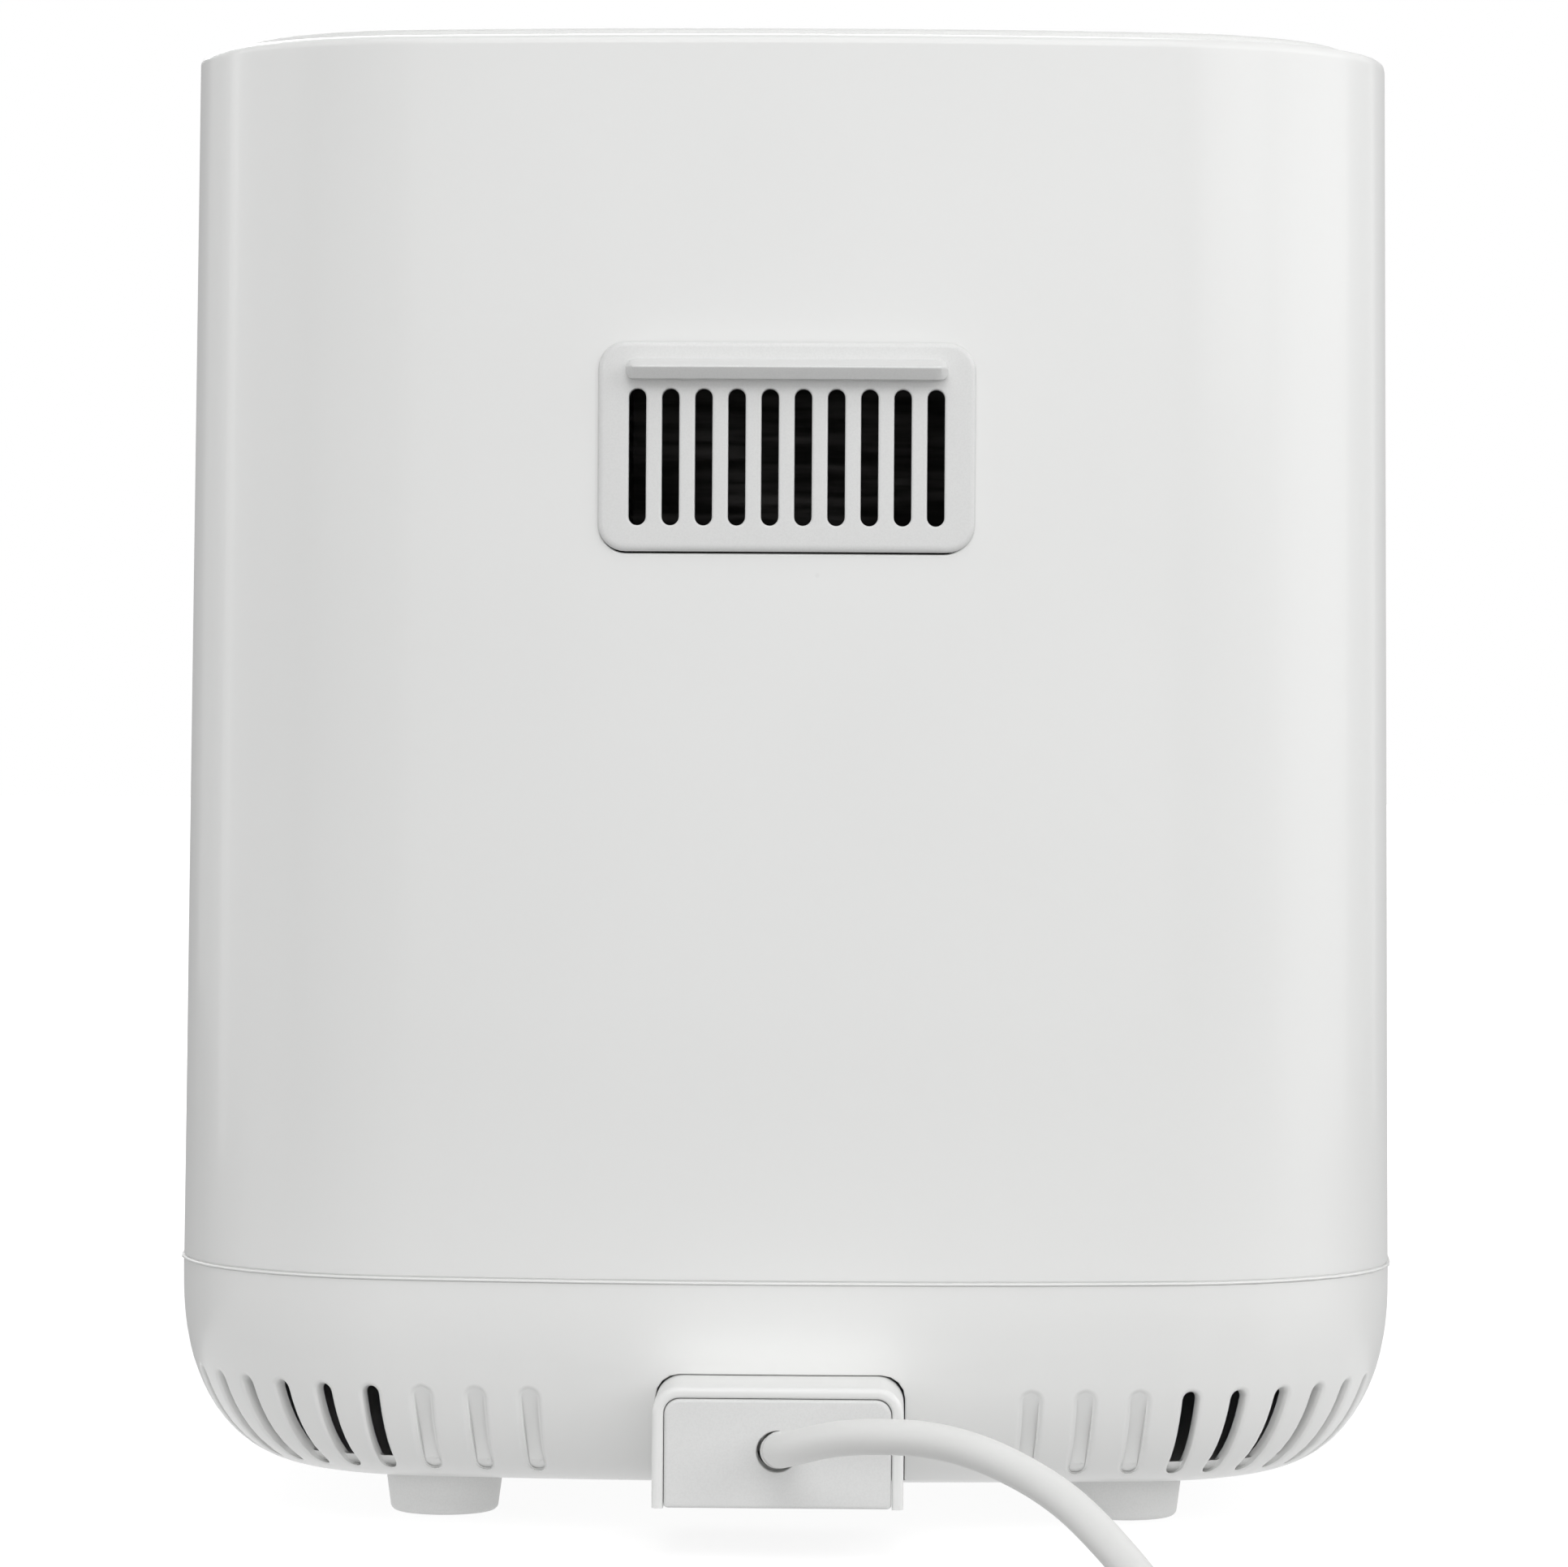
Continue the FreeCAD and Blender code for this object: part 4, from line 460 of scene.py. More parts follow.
def moulded_group():
    """Moulded plastic: broad flow marks, fine orange peel and rare tiny specks."""
    tree, given, out, place = group("Moulded", {"Peel": 700.0}, ["Flow", "Peel", "Speck"])
    tree.links.new(noise(tree, 9.0, 2.0, place), out["Flow"])
    tree.links.new(noise(tree, given["Peel"], 3.0, place), out["Peel"])
    cells = tree.nodes.new("ShaderNodeTexVoronoi")
    cells.inputs["Scale"].default_value = 26.0
    tree.links.new(place, cells.inputs["Vector"])
    dot = ramp(tree, cells.outputs["Distance"], 0.012, 0.02, 1.0, 0.0)
    pick = ramp(tree, noise(tree, 31.0, 0.0, place), 0.60, 0.64)
    tree.links.new(sums(tree, "MULTIPLY", dot, pick)[0], out["Speck"])


def drawn_group():
    """Drawn or rolled metal: long streaks along one way, and soft clouds."""
    tree, given, out, place = group("Drawn", {"Across": 900.0, "Along": 18.0}, ["Streak", "Cloud"])
    stretch = joined(tree, given, ("Along", "Along", "Across"))
    tree.links.new(noise(tree, 1.0, 3.0, vectors(tree, "MULTIPLY", place, stretch)[0]), out["Streak"])
    tree.links.new(noise(tree, 22.0, 4.0, place), out["Cloud"])


def layered_group():
    """Stacked sheets or wound wire: even ribs along one axis."""
    tree, given, out, place = group("Layered", {"X": 0.0, "Y": 0.0, "Z": 6000.0}, ["Rib"])
    along = vectors(tree, "DOT_PRODUCT", place, joined(tree, given, "XYZ"))["Value"]
    tree.links.new(sums(tree, "SINE", along, 0.0)[0], out["Rib"])


class Paint:
    """A material under way: its tree, its Principled shader, a pattern and small helpers to feed it."""

    def __init__(self, name, rgb, rough, metallic=0.0, pattern=None, **values):
        self.material = bpy.data.materials.new(name)
        self.material.use_nodes = True
        self.tree = self.material.node_tree
        self.shader = self.tree.nodes["Principled BSDF"]
        self.rgb = tuple(rgb)
        self.set(Base_Color=(*self.rgb, 1), Roughness=rough, Metallic=metallic)
        if pattern:
            node = self.tree.nodes.new("ShaderNodeGroup")
            node.node_tree = bpy.data.node_groups[pattern]
            for label, value in values.items():
                node.inputs[label].default_value = value
            self.by = node.outputs

    def set(self, **values):
        """Sets the shader's inputs, named with an underscore for each space."""
        for label, value in values.items():
            self.shader.inputs[label.replace("_", " ")].default_value = value

    def tint(self, by, shade, span=None):
        """Mixes in a colour, or a share of the first one, by a pattern or where it runs across a span."""
        factor = ramp(self.tree, self.by[by], *span) if span else self.by[by]
        rgb = [min(c * shade, 1.0) for c in self.rgb] if isinstance(shade, float) else shade
        node = self.tree.nodes.new("ShaderNodeMix")
        node.data_type = "RGBA"
        socket = self.shader.inputs["Base Color"]
        before = socket.links[0].from_socket if socket.is_linked else (*self.rgb, 1)
        feed(self.tree, node.inputs[6], before)
        feed(self.tree, node.inputs[7], (*rgb, 1))
        feed(self.tree, node.inputs["Factor"], factor)
        self.tree.links.new(node.outputs[2], socket)

    def rough(self, by, low, high):
        """Lets a pattern carry the roughness from low to high."""
        value = ramp(self.tree, self.by[by], 0.3, 0.7, low, high)
        self.tree.links.new(value, self.shader.inputs["Roughness"])

    def bump(self, by, distance, strength):
        """Lets a pattern lift the surface, on top of what lifts it already."""
        node = self.tree.nodes.new("ShaderNodeBump")
        node.inputs["Distance"].default_value = distance
        node.inputs["Strength"].default_value = strength
        socket = self.shader.inputs["Normal"]
        if socket.is_linked:
            self.tree.links.new(socket.links[0].from_socket, node.inputs["Normal"])
        self.tree.links.new(self.by[by], node.inputs["Height"])
        self.tree.links.new(node.outputs["Normal"], socket)


def gloss_paint(name, rgb):
    """Glossy moulding: soft flow marks in the gloss, faint orange peel, rare specks."""
    p = Paint(name, rgb, 0.30, pattern="Moulded", Peel=420.0)
    p.tint("Flow", 0.985, (0.3, 0.75))
    p.tint("Speck", 0.95)
    p.rough("Flow", 0.285, 0.335)
    p.bump("Flow", 0.0012, 0.006)
    p.bump("Peel", 0.00004, 0.08)
    p.set(Coat_Weight=0.15, Coat_Roughness=0.08, IOR=1.46)
    return p.material


def satin_paint(name, rgb, rough):
    """Satin moulding: a fine eroded grain."""
    p = Paint(name, rgb, rough, pattern="Moulded", Peel=2600.0)
    p.tint("Peel", 0.96, (0.35, 0.7))
    p.rough("Flow", rough - 0.04, rough + 0.05)
    p.bump("Peel", 0.00003, 0.5)
    p.set(IOR=1.46)
    return p.material


def sheath_paint(name, rgb):
    """Flexible cord sheath: soft sheen, faint draw marks and scuffs."""
    p = Paint(name, rgb, 0.46, pattern="Moulded", Peel=1500.0)
    p.tint("Flow", 0.95, (0.35, 0.75))
    p.rough("Peel", 0.40, 0.54)
    p.bump("Peel", 0.00003, 0.5)
    p.set(IOR=1.45)
    return p.material


def rubber_paint(name, rgb):
    """Rubber: dull, with a coarse grain."""
    p = Paint(name, rgb, 0.72, pattern="Moulded", Peel=3200.0)
    p.tint("Peel", 0.8, (0.3, 0.7))
    p.bump("Peel", 0.00005, 0.6)
    return p.material


def metal_paint(name, rgb, rough, across=900.0, along=18.0):
    """Sheet or drawn metal: streaks in gloss and height, clouds in tone."""
    p = Paint(name, rgb, rough, 1.0, "Drawn", Across=across, Along=along)
    p.tint("Cloud", 0.78, (0.35, 0.75))
    p.rough("Streak", rough * 0.75, rough * 1.35)
    p.bump("Streak", 0.00002, 0.5)
    return p.material


def chrome_paint(name):
    """Bright plating on a moulding."""
    p = Paint(name, (0.86, 0.87, 0.88), 0.08, 1.0, "Moulded", Peel=900.0)
    p.rough("Flow", 0.06, 0.12)
    p.bump("Peel", 0.00001, 0.2)
    return p.material


def heater_paint(name):
    """Steel tube that has been hot: straw and blue clouds on a dark oxide."""
    p = Paint(name, (0.20, 0.19, 0.185), 0.42, 1.0, "Drawn", Across=160.0, Along=90.0)
    p.tint("Cloud", (0.30, 0.22, 0.15), (0.40, 0.62))
    p.tint("Streak", (0.13, 0.15, 0.21), (0.55, 0.75))
    p.rough("Cloud", 0.36, 0.55)
    return p.material


def coating_paint(name, rgb):
    """Non-stick coating: sprayed texture with a fine mineral fleck."""
    p = Paint(name, rgb, 0.38, pattern="Moulded", Peel=1900.0)
    p.tint("Peel", (0.16, 0.16, 0.17), (0.62, 0.72))
    p.rough("Flow", 0.32, 0.45)
    p.bump("Peel", 0.00006, 0.6)
    return p.material


def layered_paint(name, rgb, rough, metallic, rib, depth, **way):
    """Laminations or windings: even ribs in tone and height."""
    p = Paint(name, rgb, rough, metallic, "Layered", **way)
    p.tint("Rib", rib, (-0.4, 0.8))
    p.bump("Rib", depth, 0.8)
    return p.material


def lens_paint(name, rgb):
    """Clear coloured plastic."""
    p = Paint(name, rgb, 0.12, pattern="Moulded", Peel=800.0)
    p.tint("Flow", 0.85, (0.3, 0.7))
    p.set(Transmission_Weight=0.6, IOR=1.49)
    return p.material


def all_materials():
    """Every finish by name, made once."""
    f = bpy.context.scene.fryer_finish
    for make in (moulded_group, drawn_group, layered_group):
        make()
    return {
        "white_gloss": gloss_paint("Glossy white moulding", f.gloss),
        "white_satin": satin_paint("Satin white moulding", f.satin, 0.35),
        "white_grain": satin_paint("Grained white moulding", f.grain, 0.55),
        "white_foot": satin_paint("White foot moulding", f.foot, 0.5),
        "grey_satin": satin_paint("Satin grey moulding", f.fascia, 0.36),
        "dark_plastic": satin_paint("Dark moulding", f.dark, 0.5),
        "clear_lens": lens_paint("Amber lens", (0.85, 0.36, 0.12)),
        "bright_trim": chrome_paint("Bright trim"),
        "coated_steel": coating_paint("Non-stick coating", f.coating),
        "sheet_steel": metal_paint("Plated sheet steel", (0.60, 0.61, 0.62), 0.34),
        "heater_steel": heater_paint("Heated steel tube"),
        "alloy": metal_paint("Pressed aluminium", (0.70, 0.71, 0.72), 0.36, 700.0, 26.0),
        "iron": layered_paint("Laminated iron", (0.17, 0.17, 0.18), 0.5, 0.8, 0.5, 0.0001, Z=9000.0),
        "copper": layered_paint(
            "Copper winding", (0.50, 0.19, 0.08), 0.32, 1.0, 0.6, 0.0002, Y=9000.0, Z=0.0),
        # The duct's finish: near-black metal, seen through the outlet's slots.
        "dark_duct_metal": metal_paint("Near-black duct metal", (0.045, 0.043, 0.042), 0.6, 500.0, 40.0),
        "brass": metal_paint("Turned brass", (0.62, 0.47, 0.20), 0.28, 1200.0, 60.0),
        "seal_rubber": rubber_paint("Dark rubber", (0.03, 0.03, 0.03)),
        "pad_rubber": rubber_paint("Light rubber", (0.56, 0.56, 0.55)),
        "cord_sheath": sheath_paint("White cord sheath", f.sheath),
        "marks": satin_paint("Dial marks", (0.80, 0.80, 0.80), 0.5),
        "pointer": satin_paint("Pointer", (0.05, 0.05, 0.055), 0.4),
    }


def by_sight(tree, lit, shown):
    """A grey for the light on other surfaces, and one for what is seen, mirrored or through a lens too."""
    path = tree.nodes.new("ShaderNodeLightPath").outputs
    seen = path["Is Camera Ray"]
    for label in ("Is Glossy Ray", "Is Transmission Ray"):
        seen = sums(tree, "MAXIMUM", seen, path[label])[0]
    mix = tree.nodes.new("ShaderNodeMix")
    mix.data_type = "RGBA"
    for i, grey in ((6, lit), (7, shown)):
        feed(tree, mix.inputs[i], (grey, grey, grey, 1) if isinstance(grey, float) else grey)
    tree.links.new(seen, mix.inputs["Factor"])
    return mix.outputs[2]


def aimed(eye, aim, roll):
    """A camera's or a lamp's matrix: looking from eye to aim, leaned by roll about the line of sight."""
    look = (Vector(aim) - Vector(eye)).to_track_quat("-Z", "Y").to_matrix().to_4x4()
    return Matrix.Translation(Vector(eye)) @ look @ Matrix.Rotation(roll, 4, "Z")


# Each lamp's place, aim, width and height, and power in watts.
LAMPS = {
    "Key softbox": ((-1.2, 1.2, 0.9), (0.0, 0.1, 0.17), (1.0, 1.2), 8.3),
    "Overhead softbox": ((0.0, 1.9, 1.3), (0.0, 0.1, 0.15), (1.4, 0.9), 13.1),
    "Top softbox": ((0.0, 0.75, 1.5), (0.0, 0.15, 0.1), (1.0, 0.8), 4.2),
    "Right softbox": ((-1.0, 0.1, 0.45), (0.0, 0.0, 0.15), (0.8, 0.9), 3.5),
    "Left softbox": ((1.0, 0.1, 0.45), (0.0, 0.0, 0.15), (0.8, 0.9), 2.4),
    "Front softbox": ((0.5, -1.7, 1.3), (0.0, 0.0, 0.16), (1.4, 1.2), 26.0),
    "Left strip": ((1.2, -0.35, 0.3), (0.1, 0.05, 0.2), (0.15, 1.0), 0.85),
    "Right strip": ((-1.0, -0.9, 0.35), (-0.1, 0.05, 0.2), (0.15, 1.0), 0.3),
    "Low softbox": ((0.0, 1.8, 0.30), (0.0, 0.1, 0.12), (1.6, 0.5), 4.3),
    "Low left softbox": ((1.1, 1.1, 0.25), (0.0, 0.1, 0.10), (0.8, 0.4), 0.9),
    "Block bounce": ((0.0, 0.171, 0.0372), (0.0, 0.150, 0.060), (0.05, 0.014), 0.0008),
}


class FRYER_OT_stage(bpy.types.Operator):
    """Camera, floor, world and lamps"""

    bl_idname = "fryer.stage"
    bl_label = "Stage"

    def execute(self, context):
        st = context.scene.fryer_stage
        context.scene.view_settings.view_transform = "Standard"
        camera = bpy.data.cameras.new("Camera")
        camera.lens = st.lens
        camera.sensor_width = 36.0
        camera.clip_end = 50.0
        eye = self.linked("Camera", camera)
        eye.matrix_world = aimed(st.eye, st.aim, st.roll)
        context.scene.camera = eye
        self.world(context.scene, st.ambient)
        self.floor(st.bounce)
        for name, (place, aim, size, power) in LAMPS.items():
            light = bpy.data.lights.new(name, "AREA")
            light.shape = "RECTANGLE"
            light.size, light.size_y = size
            light.energy = power
            self.linked(name, light).matrix_world = aimed(place, aim, 0.0)
        self.card("Left card", (0.14, 1.9), 0.35)
        self.card("Right card", (-1.9, -0.14), 0.55)
        return {"FINISHED"}

    def linked(self, name, data):
        """A new object in the scene."""
        obj = bpy.data.objects.new(name, data)
        bpy.context.scene.collection.objects.link(obj)
        return obj

    def backdrop(self, name, points, paint):
        """A plain sheet of the stage that gives light but no gloss."""
        paint.set(Specular_IOR_Level=0.0, Emission_Strength=1.0)
        obj = self.linked(name, mesh_of(name, [sheet(points)], 30))
        obj.data.materials.append(paint.material)
        return obj

    def card(self, name, span, grey):
        """A grey card behind the object, along the floor and up, seen only mirrored at the outline."""
        fold = np.array([(0.0, 0.001), (-2.2, 0.001), (-2.2, 1.2)])
        points = np.stack(np.broadcast_arrays(np.array(span), fold[:, :1], fold[:, 1:]), -1)
        paint = Paint(name, (0, 0, 0), 1.0)
        paint.set(Emission_Color=(grey, grey, grey, 1))
        card = self.backdrop(name, points, paint)
        for ray in ("camera", "diffuse", "shadow", "transmission"):
            setattr(card, "visible_" + ray, False)

    def world(self, scene, ambient):
        """White for what the eye sees directly or mirrored, and a plain grey light on everything else."""
        scene.world = bpy.data.worlds.new("Studio")
        scene.world.use_nodes = True
        tree = scene.world.node_tree
        tree.links.new(by_sight(tree, ambient, 1.0), tree.nodes["Background"].inputs["Color"])

    def floor(self, bounce):
        """A wide floor, white to the eye outside the object's shadow, that sheds light upwards close to the
        object. Both are ramps over the distance from the object's middle."""
        paint = Paint("Floor", (0.25, 0.25, 0.25), 0.9)
        tree = paint.tree
        middle = (0.0, bpy.context.scene.fryer_sizes.mid_y, 0.0)
        far = vectors(tree, "DISTANCE", object_place(tree), middle)["Value"]
        lit = ramp(tree, far, 0.19, 0.27, bounce, 0.0)
        shown = ramp(tree, far, 0.4, 1.4, 0.85, 1.05)
        tree.links.new(by_sight(tree, lit, shown), paint.shader.inputs["Emission Color"])
        reach = 9.0
        edge = np.array([-reach, reach])
        self.backdrop("Floor", np.stack(np.broadcast_arrays(edge, edge[:, None], 0.0), -1), paint)


# The cord from its clamp to the coil, the coil's middle on the lower layer, and the plug's cord end.
LEAD = mm(
    (-0.5, 178.5, 23.3), (-0.6, 182.5, 23.4), (-0.8, 200.5, 25.0), (-14, 217.4, 30.5), (-35.2, 227.5, 31.0),
    (-54.6, 241.5, 23.7), (-66.5, 260.3, 14.0), (-76, 284.5, 4.0), (-89, 313.5, 4.7), (-89, 334.5, 4.7))
COIL = mm(-135, 342.5, 4.7)
PLUG_END = mm(-181, 279.5, 18.5)


def coil_points():
    """The put-away turns: in on the lower layer and out on the upper, drawn in by a pitch a turn, with a
    smooth climb in the middle half turn. The points stand a bit outside, because the spline cuts inside."""
    turns, per_turn, pitch, first, outside = 3.5, 16, 0.0078, 0.046, 1.016
    t = np.arange(1, int(turns * per_turn) + 1) / per_turn
    r = (first - pitch * np.minimum(t, turns - t)) * outside
    climb = pitch * eased(np.clip((t - turns / 2) * 2 + 0.5, 0, 1))
    a = 2 * math.pi * t
    return COIL + np.stack([r * np.cos(a), r * np.sin(a), climb], 1)


class FRYER_OT_cord(bpy.types.Operator):
    """Mains lead, its coil, tie and plug"""

    bl_idname = "fryer.cord"
    bl_label = "Cord and plug"

    def execute(self, context):
        thick = context.scene.fryer_sizes.cord
        tail = mm((-181.4, 325.0, 12.6), (-181, 306.0, 18.3), (-181, 288.0, 18.5), (-181, 277.5, 18.5))
        run = np.concatenate([LEAD, coil_points(), tail])
        curve = bpy.data.curves.new("mains_cord", "CURVE")
        curve.dimensions = "3D"
        curve.bevel_depth = thick / 2
        curve.bevel_resolution = 6
        curve.use_fill_caps = True
        line = curve.splines.new("NURBS")
        line.points.add(len(run) - 1)
        line.points.foreach_set("co", raised(run, 1.0).ravel())
        line.order_u = 3
        line.use_endpoint_u = True
        line.resolution_u = 10
        obj = bpy.data.objects.new("mains_cord", curve)
        cord = dressed(obj, "cabinet", "cord_sheath", ["mains_lead", "mains_coil"])
        plug = piece("plug", self.plug(), "cabinet", "cord_sheath", ["plug_body"])
        pins = piece("pins", self.pins(), "cabinet", "brass", ["plug_pins"])
        tie = piece("tie", self.tie(), "cabinet", "dark_plastic", ["cord_tie"])
        return {"FINISHED"}

    def plug(self):
        """A round moulded plug: a ribbed tail, a waisted grip and a flat face, turned round one axis."""
        t = np.linspace(0, 1, 45)
        ribs = np.cos(t * 12 * math.pi) < -0.2
        tail = np.stack([5.0 + 1.2 * t - 0.55 * ribs, 21.5 * t], 1)
        u = np.linspace(0, 1, 16)
        grip = np.stack([9.6 + 8.9 * eased(u), 22.0 + 20.0 * u], 1)
        face = [(18.5, 45.0), (18.3, 47.4), (17.9, 48.0), (17.9, 64.2), (17.6, 64.8), (16.9, 65.0), (0, 65.0)]
        profile = np.concatenate([[(0, 0), (4.6, 0)], tail, [(8.8, 21.7)], grip, face]) / 1000
        return [placed(lathe(profile, 56), PLUG_END, (0, -1, 0))]

    def pins(self):
        """Two round pins with domed ends."""
        r, root, end, apart = 2.4, 60.0, 81.6, 9.5
        pin = lathe(np.concatenate([[(0, root), (r, root)], quarter_round(0, end, r, r, 6)]) / 1000, 24)
        return [placed(pin, PLUG_END + mm(0, 0, side * apart), (0, -1, 0)) for side in (-1, 1)]

    def tie(self):
        """A flat strap round the turns: a rounded loop given a thin rounded section."""
        size, radius, thick = (15.9, 15.6), 3.6, 0.9
        half = [(0, 3.7), (0.3, 4.0), (thick - 0.3, 4.0), (thick, 3.6)]
        section = [(0, -3.7)] + half + [(grow, -side) for grow, side in half[::-1]]
        rows = [raised(ring_even((0, 0), size, radius, grow, 4, (3, 3)), side) for grow, side in section]
        return [placed(sheet(np.array(rows)[..., [2, 0, 1]] / 1000, True), mm(-135, 382.65, 8.8))]


def opening(plan, middle, s, z, hole, corner, m):
    """A stretch of the housing round a hole: from the edge of the stretch in to the hole's rounded edge and
    through the wall. hole is its middle height, width and height, and m the steps in its straight runs."""
    rim = raised(ring_rect(s, z), 0.0)

    def edge(grow, deep):
        x, height = ring_even((0, hole[0]), hole[1:], corner, grow, 4, m).T
        along = middle + plan.along(x, plan.lean(height) + deep)
        return raised(np.column_stack([along, height]), deep)

    near = edge(0.0006, 0.0)
    rows = [rim + (near - rim) * t for t in (0.0, 0.55, 0.85, 1.0)]
    rows += [edge(0.00028, 0.00004), edge(0.00008, 0.00018), edge(0.0, 0.0005), edge(0.0, plan.k.wall)]
    return sheet(plan.skin(*np.moveaxis(np.array(rows), -1, 0)), True)


class FRYER_OT_housing(bpy.types.Operator):
    """Outer housing and top cover"""

    bl_idname = "fryer.housing"
    bl_label = "Housing and cover"

    def execute(self, context):
        plan = Plan(context.scene.fryer_sizes)
        k, q = plan.k, plan.quarter
        low, split, high = k.seam + 0.0020, 0.187, k.rim - k.rim_round
        z_low, z_high = np.linspace(low, split, 17), np.linspace(split, high, 15)
        z = np.concatenate([z_low, z_high[1:]])
        rear = np.linspace(-0.062, 0.062, 31)
        reach = plan.along(0.1150, 0.0)
        front = 2 * q + np.linspace(-reach, reach, 37)
        flank = np.linspace(rear[-1], front[0], 41)
        outlet, drawer, panel = (0.22868, 0.0768, 0.04344), (0.118, 0.216, 0.120), (0.245, 0.1806, 0.0926)
        patches = [
            opening(plan, 0.0, rear, z, outlet, 0.0054, (22, 22)),
            opening(plan, 2 * q, front, z_low, drawer, 0.015, (28, 8)),
            opening(plan, 2 * q, front, z_high, panel, 0.0163, (28, 6)),
            sheet(plan.skin(flank, z[:, None], 0.0)),
            sheet(plan.skin(4 * q - flank, z[:, None], 0.0)),
        ]
        loop = np.concatenate([rear[:-1], flank[:-1], front[:-1], (4 * q - flank)[:0:-1]])
        for profile in (self.bead(k, low), self.rim(k, high)):
            patches.append(sheet(plan.skin(loop, profile[:, :1], profile[:, 1:]), True))
        piece("housing", patches, "cabinet", "white_gloss", ["outer_housing"])
        piece("cover", self.cover(plan, loop), "cabinet", "white_grain", ["top_cover"])
        return {"FINISHED"}

    def bead(self, k, low):
        """Lower edge, as height and depth: under the wall, round a slim bead, in and out of a hairline groove
        and up to the wall."""
        a = np.linspace(-0.5, 0.5, 9) * math.pi
        half, root = 0.0003, 0.0001
        bead = np.stack([k.seam + half + half * np.sin(a), root - (k.lip + root) * np.cos(a) ** 0.6], 1)
        groove = np.array([(0.00063, 0.0003), (0.00083, 0.0003), (0.00087, 0.00005), (0.00100, 0.0)])
        return np.concatenate([[(k.seam, k.wall)], bead, groove + (k.seam, 0), [(low, 0.0)]])

    def rim(self, k, high):
        """Upper edge, as height and depth: a quarter round, a flat flange and its inner edge."""
        r, flange = k.rim_round, 0.0100
        arc = quarter_round(r, high, -r, r, 9)[:, ::-1]
        return np.concatenate([arc, [(k.rim, 0.0060), (k.rim, flange), (k.rim - k.wall, flange)]])

    def cover(self, plan, s):
        """The lid: an upright edge, a quarter round and a level top drawn to the middle."""
        k = plan.k
        inset, top, r = k.taper + 0.0080, k.rim + 0.0020, 0.0014
        rows = [(inset, k.rim - 0.0005), (inset, top - r)]
        rows = np.concatenate([rows, quarter_round(inset + r, top - r, -r, r, 7)])
        edge = plan.level(s, rows[:, 1:], rows[:, :1])
        lid = drawn_in(edge[-1], (0.0, k.mid_y, top), (1.0, 0.985, 0.96, 0.8, 0.55, 0.3, 0.0))
        return [sheet(edge, True), sheet(lid, True)]


FEET = [mm(x, y, 0) for x in (-73.5, 73.5) for y in (-71.5, 106.5)]


